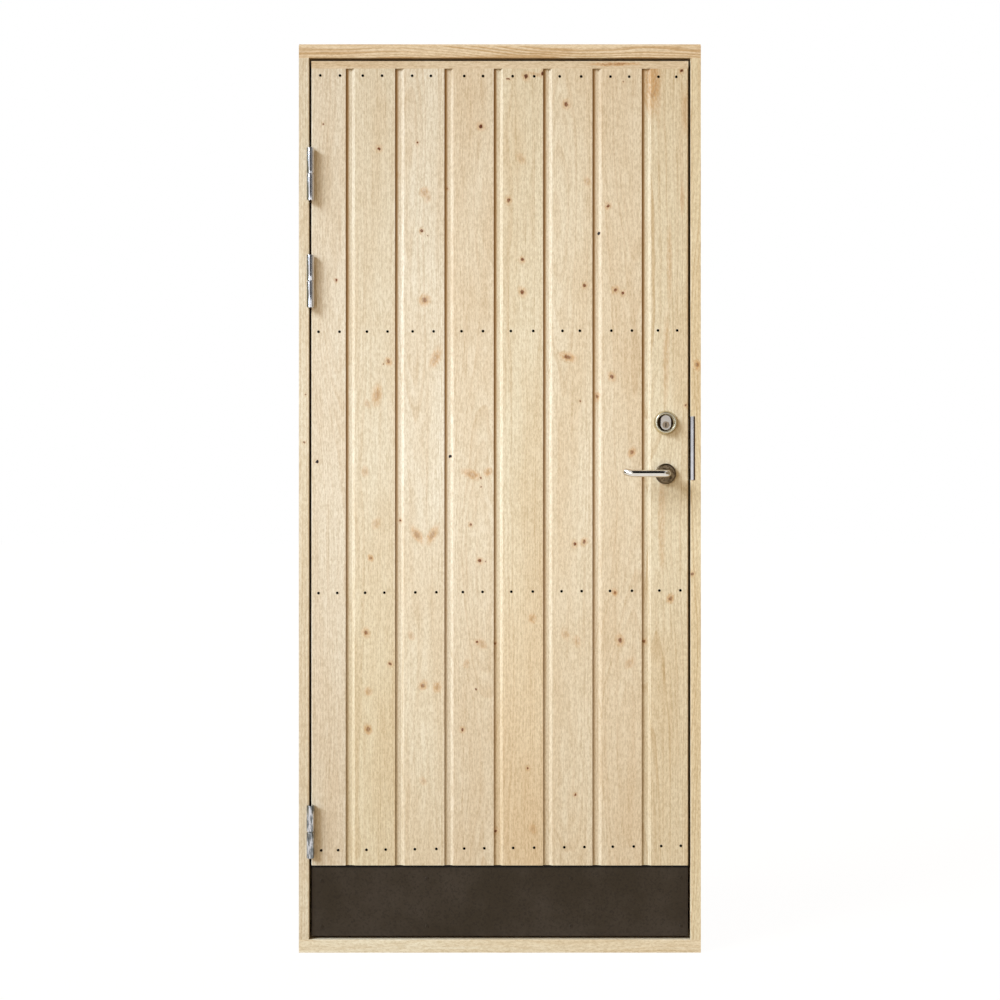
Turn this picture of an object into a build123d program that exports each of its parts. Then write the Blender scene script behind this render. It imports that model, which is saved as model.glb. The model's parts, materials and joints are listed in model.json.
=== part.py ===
from build123d import *
import math
import os

os.makedirs("parts", exist_ok=True)

# A shed door hung in its timber frame. Sizes in millimetres, +Z up, the outside of the door
# faces -Y, the origin is the middle of the underside of the sill.

# Timber frame
FRAME_WIDTH = 880.0
FRAME_HEIGHT = 1990.0
FRAME_DEPTH = 92.0
JAMB_FACE = 22.5
HEAD_FACE = 32.0
SILL_FACE = 28.5
STOP_OVERLAP = 14.5
LEAF_GAP = 5.0
END_GAP = 6.5
STOP_GAP = 5.0
FRAME_ARRIS = 1.2
HEAD_TOP_CHAMFER = 6.0

# Screw holes through the jambs
FRAME_HOLE_DIAMETER = 14.0
FRAME_HOLE_DEPTH = 31.0
FRAME_HOLE_PAIR_OUTER = 1190.0
FRAME_HOLE_PAIR_INNER = 500.0

# Boarded leaf
PLANK_THICKNESS = 20.0
FRAMING_THICKNESS = 36.0
PLANK_COUNT = 8
FIRST_PLANK_WIDTH = 75.0
LAST_PLANK_WIDTH = 102.0
CHANNEL_WIDTH = 20.0
CHANNEL_CHAMFER = 6.5
CHANNEL_DEPTH = 4.0
TONGUE_SETBACK = 8.0
TONGUE_THICKNESS = 6.0
TONGUE_LENGTH = 8.0
TONGUE_PLAY = 0.3
LEAF_ARRIS = 2.0
LOCK_EDGE_BEVEL = 3.0
TOP_STRIP_HEIGHT = 16.5

# Framing on the back of the leaf
STILE_WIDTH = 95.0
TOP_RAIL_HEIGHT = 95.0
MIDDLE_RAIL_HEIGHT = 95.0
BOTTOM_RAIL_HEIGHT = 220.0
UPPER_RAIL_DROP = 590.5
LOWER_RAIL_RISE = 754.5

# Kick plate on its packing board
KICK_HEIGHT = 156.0
KICK_RECESS = 6.0
KICK_PLATE_THICKNESS = 1.5
KICK_PLATE_TOP_GAP = 1.0

# Lift-off hinges
UPPER_HINGE_DROP = 249.5
MIDDLE_HINGE_DROP = 483.5
LOWER_HINGE_RISE = 232.0
HINGE_LENGTH = 115.0
BARREL_DIAMETER = 17.0
BARREL_OFFSET = 1.5
BARREL_STANDOFF = 0.5
PIN_DIAMETER = 9.0
PIN_CLEARANCE = 0.05
PIN_REACH = 45.0
PIN_END_GAP = 1.5
BEARING_RING_DIAMETER = 13.6
BEARING_RING_HEIGHT = 2.0
KNUCKLE_PLAY = 0.3
WING_THICKNESS = 2.5
WING_REACH = 35.0

# Lock in the leaf
BACKSET = 50.0
SPINDLE_RISE = 1013.0
CYLINDER_RISE = 112.0
LOCK_WEB = 16.0
FACEPLATE_WIDTH = 22.0
FACEPLATE_HEIGHT = 235.0
FACEPLATE_THICKNESS = 3.0
LATCH_WIDTH = 12.0
LATCH_HEIGHT = 26.0
LATCH_RISE = 22.0
DEADBOLT_HEIGHT = 36.0
DEADBOLT_RISE = 90.0
BOLT_LENGTH = 6.0
BOLT_PLAY = 0.3

# Strike plate on the lock-side jamb
STRIKE_HEIGHT = 139.0
STRIKE_THICKNESS = 2.0
STRIKE_LIP = 6.0
STRIKE_REACH = 53.0
STRIKE_WINDOW_PLAY = 2.0
STRIKE_POCKET_DEPTH = 15.0

# Lever handles
ROSE_DIAMETER = 45.0
ROSE_THICKNESS = 9.0
ROSE_EDGE = 2.5
GRIP_DIAMETER = 16.0
GRIP_STANDOFF = 50.0
NECK_PLAY = 0.5
NECK_BACK_GAP = 1.0
ELBOW_RADIUS = 14.0
GRIP_STRAIGHT = 58.0
TIP_RADIUS = 24.0
TIP_BEND = 38.0
TIP_LIFT = 28.0
TIP_LENGTH = 7.0
TIP_EDGE = 2.0
SPINDLE_SIZE = 8.0
SPINDLE_SOCKET = 14.0
SPINDLE_HOLE_DIAMETER = 22.0

# Lock cylinders
RING_DIAMETER = 53.0
RING_FRONT_DIAMETER = 45.0
RING_OPENING = 38.0
RING_THICKNESS = 12.0
CYLINDER_HEIGHT = 32.0
CYLINDER_WIDTH = 22.0
CYLINDER_FRONT = 8.0
CYLINDER_HOLE_DIAMETER = 36.0
PLUG_DIAMETER = 15.0
PLUG_CLEARANCE = 0.05
PLUG_DEPTH = 12.0
PLUG_PROUD = 0.6
KEYWAY_WIDTH = 2.4
KEYWAY_HEIGHT = 9.0
KEYWAY_DEPTH = 9.0

# Lines taken from the sizes above
frame_left = -FRAME_WIDTH / 2
frame_right = FRAME_WIDTH / 2
front = -FRAME_DEPTH / 2
frame_back = FRAME_DEPTH / 2
plank_back = front + PLANK_THICKNESS
leaf_back = plank_back + FRAMING_THICKNESS
stop_front = leaf_back + STOP_GAP
jamb_stop = JAMB_FACE + LEAF_GAP + STOP_OVERLAP
head_stop = HEAD_FACE + END_GAP + STOP_OVERLAP
sill_stop = SILL_FACE + END_GAP + STOP_OVERLAP
rebate_left = frame_left + JAMB_FACE
rebate_right = frame_right - JAMB_FACE
rebate_bottom = SILL_FACE
rebate_top = FRAME_HEIGHT - HEAD_FACE
leaf_left = rebate_left + LEAF_GAP
leaf_right = rebate_right - LEAF_GAP
leaf_bottom = rebate_bottom + END_GAP
leaf_top = rebate_top - END_GAP
plank_pitch = (leaf_right - leaf_left - FIRST_PLANK_WIDTH - LAST_PLANK_WIDTH) / (PLANK_COUNT - 2)
hinge_levels = {
    "upper": leaf_top - UPPER_HINGE_DROP,
    "middle": leaf_top - MIDDLE_HINGE_DROP,
    "lower": leaf_bottom + LOWER_HINGE_RISE,
}
rail_levels = {
    "upper": leaf_top - UPPER_RAIL_DROP,
    "lower": leaf_bottom + LOWER_RAIL_RISE,
}
spindle_level = leaf_bottom + SPINDLE_RISE
plank_bottom = leaf_bottom + KICK_HEIGHT
plank_top = leaf_top - TOP_STRIP_HEIGHT
stile_inner_left = leaf_left + STILE_WIDTH
stile_inner_right = leaf_right - STILE_WIDTH
kick_face = front + KICK_RECESS
kick_board_face = kick_face + KICK_PLATE_THICKNESS
hinge_x = (leaf_left + rebate_left) / 2 + BARREL_OFFSET
hinge_y = front - BARREL_STANDOFF - BARREL_DIAMETER / 2
wing_back = front + WING_REACH
lock_x = leaf_right - BACKSET
lock_edge = leaf_right - LOCK_EDGE_BEVEL
cylinder_level = spindle_level + CYLINDER_RISE
bolt_line = plank_back + FRAMING_THICKNESS / 2
web_front = bolt_line - LOCK_WEB / 2
web_back = bolt_line + LOCK_WEB / 2
lock_middle_level = spindle_level + CYLINDER_RISE / 2
faceplate_seat_x = lock_edge - FACEPLATE_THICKNESS
latch_level = spindle_level + LATCH_RISE
deadbolt_level = spindle_level + DEADBOLT_RISE
frame_hole_y = front + FRAME_HOLE_DEPTH
frame_middle_level = FRAME_HEIGHT / 2
bolts = {
    "latch_bolt": (latch_level, LATCH_HEIGHT),
    "dead_bolt": (deadbolt_level, DEADBOLT_HEIGHT),
}


def block(x0, x1, y0, y1, z0, z1):
    """A plain block between two corners."""
    size = Box(x1 - x0, y1 - y0, z1 - z0)
    return Pos((x0 + x1) / 2, (y0 + y1) / 2, (z0 + z1) / 2) * size


def upright(outline, z0, z1):
    """A prism standing on a plan outline."""
    face = make_face(Polyline(*outline, close=True))
    return Pos(0, 0, z0) * extrude(face, z1 - z0, dir=(0, 0, 1))


def lengthwise(outline, x0, x1):
    """A prism lying along X with its section given in Y and Z."""
    section = Plane.YZ.offset(x0) * make_face(Polyline(*outline, close=True))
    return extrude(section, x1 - x0, dir=(1, 0, 0))


def rod_y(x, z, diameter, y0, y1):
    """A round rod along Y."""
    start = Plane(origin=(x, y0, z), x_dir=(1, 0, 0), z_dir=(0, 1, 0))
    return extrude(start * Circle(diameter / 2), y1 - y0)


def rod_x(y, z, diameter, x0, x1):
    """A round rod along X."""
    start = Plane(origin=(x0, y, z), x_dir=(0, 1, 0), z_dir=(1, 0, 0))
    return extrude(start * Circle(diameter / 2), x1 - x0)


def rod_z(x, y, diameter, z0, z1):
    """A round rod along Z."""
    return extrude(Pos(x, y, z0) * Circle(diameter / 2), z1 - z0)


def one_solid(shape):
    """The single solid of a shape."""
    found = shape.solids()
    if len(found) != 1:
        raise ValueError(f"{len(found)} solids where one was meant")
    return found[0]


def write(name, shape):
    """Writes one node."""
    export_step(one_solid(shape), f"parts/{name}.step")


# Spaces cut out of more than one piece
edge_bevel = upright(
    [
        (leaf_right, front),
        (leaf_right, leaf_back),
        (lock_edge, leaf_back),
    ],
    leaf_bottom,
    leaf_top,
)
spindle_hole = rod_y(lock_x, spindle_level, SPINDLE_HOLE_DIAMETER, front, leaf_back)
front_cylinder_hole = rod_y(lock_x, cylinder_level, CYLINDER_HOLE_DIAMETER, front, web_front)
back_cylinder_hole = rod_y(lock_x, cylinder_level, CYLINDER_HOLE_DIAMETER, web_back, leaf_back)


def leaf_wing_box(level):
    """The plate of a hinge half let into the edge of the leaf."""
    low = level + BEARING_RING_HEIGHT / 2 + KNUCKLE_PLAY
    high = level + HINGE_LENGTH / 2
    return block(leaf_left, leaf_left + WING_THICKNESS, hinge_y, wing_back, low, high)


def frame_wing_box(level):
    """The plate of a hinge half let into the jamb."""
    low = level - HINGE_LENGTH / 2
    high = level - BEARING_RING_HEIGHT / 2
    return block(rebate_left - WING_THICKNESS, rebate_left, hinge_y, wing_back, low, high)


# Frame head and sill
def stopped_arris(level, upward):
    """The wedge taken off the inner arris of the head or the sill, between the jambs."""
    return lengthwise(
        [
            (front, level),
            (front, level + upward * FRAME_ARRIS),
            (front + FRAME_ARRIS, level),
        ],
        rebate_left,
        rebate_right,
    )


head = lengthwise(
    [
        (front, rebate_top),
        (front, FRAME_HEIGHT - HEAD_TOP_CHAMFER),
        (front + HEAD_TOP_CHAMFER, FRAME_HEIGHT),
        (frame_back, FRAME_HEIGHT),
        (frame_back, FRAME_HEIGHT - head_stop),
        (stop_front, FRAME_HEIGHT - head_stop),
        (stop_front, rebate_top),
    ],
    frame_left,
    frame_right,
)
write("frame_head", head - stopped_arris(rebate_top, 1))

sill = lengthwise(
    [
        (front, 0),
        (front, rebate_bottom),
        (stop_front, rebate_bottom),
        (stop_front, sill_stop),
        (frame_back, sill_stop),
        (frame_back, 0),
    ],
    frame_left,
    frame_right,
)
write("sill", sill - stopped_arris(rebate_bottom, -1))


# Jambs between the sill and the head
def jamb(outer, inward):
    """A rebated jamb with its screw holes, drawn from its outer face inwards."""
    face_edge = outer + inward * JAMB_FACE
    stop_edge = outer + inward * jamb_stop
    lining = upright(
        [
            (outer, front),
            (face_edge - inward * FRAME_ARRIS, front),
            (face_edge, front + FRAME_ARRIS),
            (face_edge, stop_front),
            (outer, stop_front),
        ],
        rebate_bottom,
        rebate_top,
    )
    stop = block(
        min(outer, stop_edge),
        max(outer, stop_edge),
        stop_front,
        frame_back,
        sill_stop,
        FRAME_HEIGHT - head_stop,
    )
    shape = lining + stop
    for pair in (FRAME_HOLE_PAIR_OUTER, FRAME_HOLE_PAIR_INNER):
        for side in (-1, 1):
            level = frame_middle_level + side * pair / 2
            shape -= rod_x(
                frame_hole_y,
                level,
                FRAME_HOLE_DIAMETER,
                min(outer, face_edge),
                max(outer, face_edge),
            )
    return shape


hinge_jamb = jamb(frame_left, 1)
for level in hinge_levels.values():
    hinge_jamb -= frame_wing_box(level)
write("hinge_jamb", hinge_jamb)

strike_back = front - STRIKE_THICKNESS + STRIKE_REACH
strike_low = lock_middle_level - STRIKE_HEIGHT / 2
strike_high = lock_middle_level + STRIKE_HEIGHT / 2


def strike_window(level, height, x0, x1):
    """The space a bolt shoots into."""
    half_width = LATCH_WIDTH / 2 + STRIKE_WINDOW_PLAY
    half_height = height / 2 + STRIKE_WINDOW_PLAY
    return block(
        x0,
        x1,
        bolt_line - half_width,
        bolt_line + half_width,
        level - half_height,
        level + half_height,
    )


strike_seat = rebate_right + STRIKE_THICKNESS
strike_flange = block(rebate_right, strike_seat, front, strike_back, strike_low, strike_high)
lock_jamb = jamb(frame_right, -1) - strike_flange
strike = strike_flange + block(
    rebate_right,
    rebate_right + STRIKE_LIP,
    front - STRIKE_THICKNESS,
    front,
    strike_low,
    strike_high,
)
for level, height in bolts.values():
    lock_jamb -= strike_window(level, height, strike_seat, strike_seat + STRIKE_POCKET_DEPTH)
    strike -= strike_window(level, height, rebate_right, strike_seat)
write("lock_jamb", lock_jamb)
write("strike_plate", strike)


# Hinges
def hinge_leaf_half(level):
    """The upper knuckle, bored for the pin, with the plate in the leaf."""
    low = level + BEARING_RING_HEIGHT / 2 + KNUCKLE_PLAY
    high = level + HINGE_LENGTH / 2
    knuckle = rod_z(hinge_x, hinge_y, BARREL_DIAMETER, low, high)
    bore_top = level + PIN_REACH + PIN_END_GAP
    bore = rod_z(hinge_x, hinge_y, PIN_DIAMETER + 2 * PIN_CLEARANCE, low, bore_top)
    return knuckle + leaf_wing_box(level) - bore


def hinge_frame_half(level):
    """The lower knuckle with its bearing ring and pin and the plate in the jamb."""
    low = level - HINGE_LENGTH / 2
    ring_low = level - BEARING_RING_HEIGHT / 2
    ring_high = level + BEARING_RING_HEIGHT / 2
    knuckle = rod_z(hinge_x, hinge_y, BARREL_DIAMETER, low, ring_low)
    ring = rod_z(hinge_x, hinge_y, BEARING_RING_DIAMETER, ring_low, ring_high)
    pin = rod_z(hinge_x, hinge_y, PIN_DIAMETER, ring_high, level + PIN_REACH)
    return knuckle + frame_wing_box(level) + ring + pin


for place, level in hinge_levels.items():
    write(f"hinge_{place}_leaf_half", hinge_leaf_half(level))
    write(f"hinge_{place}_frame_half", hinge_frame_half(level))


# Planks, tongued on the left edge and grooved on the right edge
def plank_edge(number):
    """Where the face of a plank ends on its right."""
    if number == PLANK_COUNT:
        return leaf_right
    return leaf_left + FIRST_PLANK_WIDTH + (number - 1) * plank_pitch


def left_side(number):
    """The left side of a plank's section, from its face to its back."""
    if number == 1:
        return [
            (leaf_left + LEAF_ARRIS, front),
            (leaf_left, front + LEAF_ARRIS),
            (leaf_left, plank_back),
        ]
    edge = plank_edge(number - 1)
    tongue_front = front + TONGUE_SETBACK
    tongue_back = tongue_front + TONGUE_THICKNESS
    return [
        (edge + CHANNEL_WIDTH, front),
        (edge + CHANNEL_WIDTH - CHANNEL_CHAMFER, front + CHANNEL_DEPTH),
        (edge, front + CHANNEL_DEPTH),
        (edge, tongue_front),
        (edge - TONGUE_LENGTH, tongue_front),
        (edge - TONGUE_LENGTH, tongue_back),
        (edge, tongue_back),
        (edge, plank_back),
    ]


def right_side(number):
    """The right side of a plank's section, from its back to its face."""
    edge = plank_edge(number)
    if number == PLANK_COUNT:
        return [
            (edge, plank_back),
            (edge, front + LEAF_ARRIS),
            (edge - LEAF_ARRIS, front),
        ]
    groove_front = front + TONGUE_SETBACK - TONGUE_PLAY
    groove_back = front + TONGUE_SETBACK + TONGUE_THICKNESS + TONGUE_PLAY
    groove_end = edge - TONGUE_LENGTH - TONGUE_PLAY
    return [
        (edge, plank_back),
        (edge, groove_back),
        (groove_end, groove_back),
        (groove_end, groove_front),
        (edge, groove_front),
        (edge, front),
    ]


for number in range(1, PLANK_COUNT + 1):
    plank = upright(left_side(number) + right_side(number), plank_bottom, plank_top)
    if number == 1:
        for level in hinge_levels.values():
            plank -= leaf_wing_box(level)
    if number == PLANK_COUNT:
        plank -= edge_bevel
        plank -= spindle_hole
        plank -= front_cylinder_hole
    write(f"plank_{number}", plank)

top_strip = block(leaf_left, leaf_right, front, plank_back, plank_top, leaf_top)
write("top_strip", top_strip - edge_bevel)

kick_board = block(leaf_left, leaf_right, kick_board_face, plank_back, leaf_bottom, plank_bottom)
write("kick_board", kick_board - edge_bevel)

kick_plate = block(
    leaf_left,
    leaf_right,
    kick_face,
    kick_board_face,
    leaf_bottom,
    plank_bottom - KICK_PLATE_TOP_GAP,
)
write("kick_plate", kick_plate - edge_bevel)

# Stiles and rails
hinge_stile = block(leaf_left, stile_inner_left, plank_back, leaf_back, leaf_bottom, leaf_top)
for level in hinge_levels.values():
    hinge_stile -= leaf_wing_box(level)
write("hinge_stile", hinge_stile)


def faceplate_block(x1):
    """The faceplate's outline, from its seat to a given line."""
    return block(
        faceplate_seat_x,
        x1,
        bolt_line - FACEPLATE_WIDTH / 2,
        bolt_line + FACEPLATE_WIDTH / 2,
        lock_middle_level - FACEPLATE_HEIGHT / 2,
        lock_middle_level + FACEPLATE_HEIGHT / 2,
    )


def bolt_block(level, height, play):
    """A bolt drawn in flush with the faceplate, or with some play the socket for it."""
    return block(
        lock_edge - BOLT_LENGTH,
        lock_edge,
        bolt_line - LATCH_WIDTH / 2 - play,
        bolt_line + LATCH_WIDTH / 2 + play,
        level - height / 2 - play,
        level + height / 2 + play,
    )


faceplate = faceplate_block(lock_edge)
lock_stile = block(stile_inner_right, leaf_right, plank_back, leaf_back, leaf_bottom, leaf_top)
lock_stile -= edge_bevel
lock_stile -= faceplate_block(leaf_right)
lock_stile -= spindle_hole
lock_stile -= front_cylinder_hole
lock_stile -= back_cylinder_hole
for name, (level, height) in bolts.items():
    write(name, bolt_block(level, height, 0))
    socket = bolt_block(level, height, BOLT_PLAY)
    faceplate -= socket
    lock_stile -= socket
write("lock_faceplate", faceplate)
write("lock_stile", lock_stile)


def rail(low, high):
    """A rail between the stiles."""
    return block(stile_inner_left, stile_inner_right, plank_back, leaf_back, low, high)


write("top_rail", rail(leaf_top - TOP_RAIL_HEIGHT, leaf_top))
for place, level in rail_levels.items():
    write(f"{place}_rail", rail(level - MIDDLE_RAIL_HEIGHT / 2, level + MIDDLE_RAIL_HEIGHT / 2))
write("bottom_rail", rail(leaf_bottom, leaf_bottom + BOTTOM_RAIL_HEIGHT))


# Roses, rings, cylinders and plugs, the same on both faces
def outward_plane(face, outward, level):
    """A plane on a face of the leaf at the lock's line, looking outwards."""
    return Plane(origin=(lock_x, face, level), x_dir=(1, 0, 0), z_dir=(0, outward, 0))


def rose(face, outward):
    """The round plate the lever's neck turns in."""
    base = outward_plane(face, outward, spindle_level)
    body = extrude(base * Circle(ROSE_DIAMETER / 2), ROSE_THICKNESS)
    rim = body.edges().filter_by(GeomType.CIRCLE).sort_by(Axis.Y)
    body = fillet(rim[0] if outward < 0 else rim[-1], ROSE_EDGE)
    return body - rod_y(
        lock_x,
        spindle_level,
        GRIP_DIAMETER + 2 * NECK_PLAY,
        min(face, face + outward * ROSE_THICKNESS),
        max(face, face + outward * ROSE_THICKNESS),
    )


def cylinder_ring(face, outward):
    """The conical ring round the lock cylinder."""
    base = outward_plane(face, outward, cylinder_level)
    cone = base * Cone(
        RING_DIAMETER / 2,
        RING_FRONT_DIAMETER / 2,
        RING_THICKNESS,
        align=(Align.CENTER, Align.CENTER, Align.MIN),
    )
    return cone - extrude(base * Circle(RING_OPENING / 2), RING_THICKNESS)


def cylinder_parts(face, seat, outward):
    """The oval cylinder standing in the lock stile, and its plug."""
    tip = face + outward * CYLINDER_FRONT
    base = outward_plane(seat, outward, cylinder_level)
    oval = SlotOverall(CYLINDER_HEIGHT, CYLINDER_WIDTH, rotation=90)
    body = extrude(base * oval, abs(tip - seat))
    plug_level = cylinder_level - (CYLINDER_HEIGHT - CYLINDER_WIDTH) / 2
    floor = outward_plane(tip - outward * PLUG_DEPTH, outward, plug_level)
    body -= extrude(floor * Circle(PLUG_DIAMETER / 2 + PLUG_CLEARANCE), PLUG_DEPTH)
    plug = extrude(floor * Circle(PLUG_DIAMETER / 2), PLUG_DEPTH + PLUG_PROUD)
    key_floor = outward_plane(tip + outward * (PLUG_PROUD - KEYWAY_DEPTH), outward, plug_level)
    plug -= extrude(key_floor * Rectangle(KEYWAY_WIDTH, KEYWAY_HEIGHT), KEYWAY_DEPTH)
    return body, plug


def lever(face, outward):
    """A bent round bar: neck, elbow, grip, and a tip turned back to the leaf and a little up."""
    across = outward * (GRIP_STANDOFF - ELBOW_RADIUS)
    turn = math.radians(45)
    bend = math.radians(TIP_BEND)
    lift = math.radians(TIP_LIFT)
    neck_start = Vector(lock_x, face + outward * NECK_BACK_GAP, spindle_level)
    neck_end = Vector(lock_x, face + across, spindle_level)
    along = Vector(-1, 0, 0)
    out = Vector(0, outward, 0)
    elbow_middle = neck_end + along * (ELBOW_RADIUS * (1 - math.cos(turn)))
    elbow_middle += out * (ELBOW_RADIUS * math.sin(turn))
    elbow_end = neck_end + along * ELBOW_RADIUS + out * ELBOW_RADIUS
    grip_end = elbow_end + along * GRIP_STRAIGHT
    inward = Vector(0, -outward * math.cos(lift), math.sin(lift))
    tip_middle = grip_end + along * (TIP_RADIUS * math.sin(bend / 2))
    tip_middle += inward * (TIP_RADIUS * (1 - math.cos(bend / 2)))
    tip_start = grip_end + along * (TIP_RADIUS * math.sin(bend))
    tip_start += inward * (TIP_RADIUS * (1 - math.cos(bend)))
    tip_end = tip_start + (along * math.cos(bend) + inward * math.sin(bend)) * TIP_LENGTH
    path = Wire(
        [
            Edge.make_line(neck_start, neck_end),
            Edge.make_three_point_arc(neck_end, elbow_middle, elbow_end),
            Edge.make_line(elbow_end, grip_end),
            Edge.make_three_point_arc(grip_end, tip_middle, tip_start),
            Edge.make_line(tip_start, tip_end),
        ]
    )
    start = Plane(origin=neck_start, x_dir=(1, 0, 0), z_dir=(0, outward, 0))
    bar = sweep(start * Circle(GRIP_DIAMETER / 2), path=path)
    rounds = bar.edges().filter_by(GeomType.CIRCLE)
    bar = fillet(rounds.sort_by_distance(tip_end)[0], TIP_EDGE)
    return bar - extrude(start * Rectangle(SPINDLE_SIZE, SPINDLE_SIZE), SPINDLE_SOCKET)


for side, face, seat, outward in (
    ("front", front, web_front, -1),
    ("back", leaf_back, web_back, 1),
):
    write(f"{side}_rose", rose(face, outward))
    write(f"{side}_cylinder_ring", cylinder_ring(face, outward))
    body, plug = cylinder_parts(face, seat, outward)
    write(f"{side}_cylinder", body)
    write(f"{side}_plug", plug)
    write(f"{side}_lever", lever(face, outward))

spindle_reach = NECK_BACK_GAP + SPINDLE_SOCKET
spindle = block(
    lock_x - SPINDLE_SIZE / 2,
    lock_x + SPINDLE_SIZE / 2,
    front - spindle_reach,
    leaf_back + spindle_reach,
    spindle_level - SPINDLE_SIZE / 2,
    spindle_level + SPINDLE_SIZE / 2,
)
write("lever_spindle", spindle)
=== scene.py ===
import json
import math

import bmesh
import bpy
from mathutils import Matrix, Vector


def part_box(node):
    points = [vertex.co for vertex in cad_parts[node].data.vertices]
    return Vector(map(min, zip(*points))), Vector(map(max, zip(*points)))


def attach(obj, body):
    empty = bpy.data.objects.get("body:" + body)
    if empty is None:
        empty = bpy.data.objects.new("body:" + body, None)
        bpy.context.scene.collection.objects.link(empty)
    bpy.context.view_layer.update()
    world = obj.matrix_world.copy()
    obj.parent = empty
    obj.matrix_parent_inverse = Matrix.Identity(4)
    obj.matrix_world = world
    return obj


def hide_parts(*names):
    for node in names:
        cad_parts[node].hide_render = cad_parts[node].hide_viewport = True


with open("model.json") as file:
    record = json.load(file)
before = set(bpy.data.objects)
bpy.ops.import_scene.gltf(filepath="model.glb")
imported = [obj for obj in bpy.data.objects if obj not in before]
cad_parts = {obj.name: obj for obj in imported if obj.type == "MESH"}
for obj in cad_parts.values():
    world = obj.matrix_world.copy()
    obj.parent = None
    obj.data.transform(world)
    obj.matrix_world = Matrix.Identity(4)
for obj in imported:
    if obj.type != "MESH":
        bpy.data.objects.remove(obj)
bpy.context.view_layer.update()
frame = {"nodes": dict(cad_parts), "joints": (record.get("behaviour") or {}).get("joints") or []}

bl_info = {
    "name": "Shed door",
    "version": (1, 0, 0),
    "blender": (4, 5, 0),
    "location": "View3D > Sidebar > Shed door",
    "description": "Dresses a boarded shed door in its frame with timber, metal and fastenings",
    "category": "Add Mesh",
}

MM = 0.001

# How near a point counts as lying on a level or on a circle
NEAR = 0.01 * MM
NEAR_CIRCLE = 0.2 * MM

# Fits shared with the solids
LEAF_GAP = 5 * MM
PIN_RADIUS = 4.5 * MM
BORE_RADIUS = 4.55 * MM
BORE_DEPTH = 45.2 * MM
BEARING_RADIUS = 6.8 * MM
BEARING_HEIGHT = 2 * MM
KNUCKLE_PLAY = 0.3 * MM
WING_THICKNESS = 2.5 * MM
WING_CORNER = 5 * MM
GRIP_RADIUS = 8 * MM
TIP_EDGE = 2.6 * MM
ROSE_OPENING = 8.5 * MM
ROSE_EDGE = 2.5 * MM
ROSE_HOLE_EDGE = 0.4 * MM
RING_FRONT_RADIUS = 22.5 * MM
RING_OPENING_RADIUS = 19 * MM
RING_FRONT_EDGE = 1.2 * MM
RING_EDGE = 0.8 * MM

# Sides of round things: nails, screws, hinges and levers, and roses and rings
NAIL_SIDES, SCREW_SIDES, BARREL_SIDES, PLATE_SIDES = 16, 32, 48, 96
SQUARE = math.radians(90)
ALONG_Y = (SQUARE, 0, 0)


def shade(red, green, blue):
    """A colour as seen on a screen, 0 to 255, made linear."""
    tones = []
    for level in (red, green, blue):
        part = level / 255
        tones.append(part / 12.92 if part <= 0.04045 else ((part + 0.055) / 1.055) ** 2.4)
    return tuple(tones)


def colour_choice(label, note, red, green, blue):
    """A colour that the sidebar offers."""
    return bpy.props.FloatVectorProperty(
        name=label,
        description=note,
        default=shade(red, green, blue),
        subtype="COLOR",
        size=3,
        min=0,
        max=1,
    )


def length_choice(label, note, millimetres):
    """A length that the sidebar offers."""
    return bpy.props.FloatProperty(
        name=label,
        description=note,
        default=millimetres * MM,
        min=0,
        unit="LENGTH",
        subtype="DISTANCE",
        precision=4,
    )


def angle_choice(label, note, degrees):
    """An angle that the sidebar offers."""
    return bpy.props.FloatProperty(
        name=label,
        description=note,
        default=math.radians(degrees),
        subtype="ANGLE",
        unit="ROTATION",
    )


class TimberChoices(bpy.types.PropertyGroup):
    """Colours and grain of the bare softwood."""

    pale: colour_choice("Early wood", "Pale wood between the year rings", 235, 218, 187)
    warm: colour_choice("Warm wood", "Pinker patches of the pale wood", 228, 206, 171)
    late: colour_choice("Late wood", "Darker line of each year ring", 205, 174, 130)
    knot: colour_choice("Knot", "Heart of a knot", 112, 52, 8)
    halo: colour_choice("Knot halo", "Resinous wood round a knot", 208, 150, 80)
    # Painted shade: the colour of the shaded wood deep in the board channels
    joint_shade: colour_choice("Board joint", "Darkened wood deep in the channel", 182, 138, 84)
    ring_width: length_choice("Ring width", "Usual width of a year ring", 2.6)


class MetalChoices(bpy.types.PropertyGroup):
    """Colours of the metal parts."""

    plated: colour_choice("Plated steel", "Zinc on hinges, strike and screws", 218, 217, 220)
    handle: colour_choice("Handle", "Polished lever", 224, 218, 208)
    rose: colour_choice("Rose", "Dull plate behind the lever", 138, 116, 86)
    nickel: colour_choice("Lock ring", "Nickel with a brassy cast", 214, 204, 176)
    cylinder: colour_choice("Cylinder", "Worn nickel of the lock cylinder", 214, 203, 190)
    plug: colour_choice("Lock plug", "Nickelled brass round the keyway", 186, 164, 138)
    bolt: colour_choice("Lock bolts", "Ground steel of the bolts", 186, 187, 190)
    sheet: colour_choice("Kick plate", "Brown coating of the kick plate", 53, 43, 30)
    # Painted reflection: the dull, bluer cast of the lowest hinge near the ground
    stain_and_shade: colour_choice("Stain", "Dark cast on the lowest hinge", 56, 68, 68)
    # Painted reflection and shade: the brown dark of the rose's rim and clouds, and of the keyway
    painted_dark_cast: colour_choice("Tarnish", "Brown cast on the rose and in the keyway", 60, 44, 24)
    nail: colour_choice("Nail heads", "Dark heads of the nails", 24, 20, 15)


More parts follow.
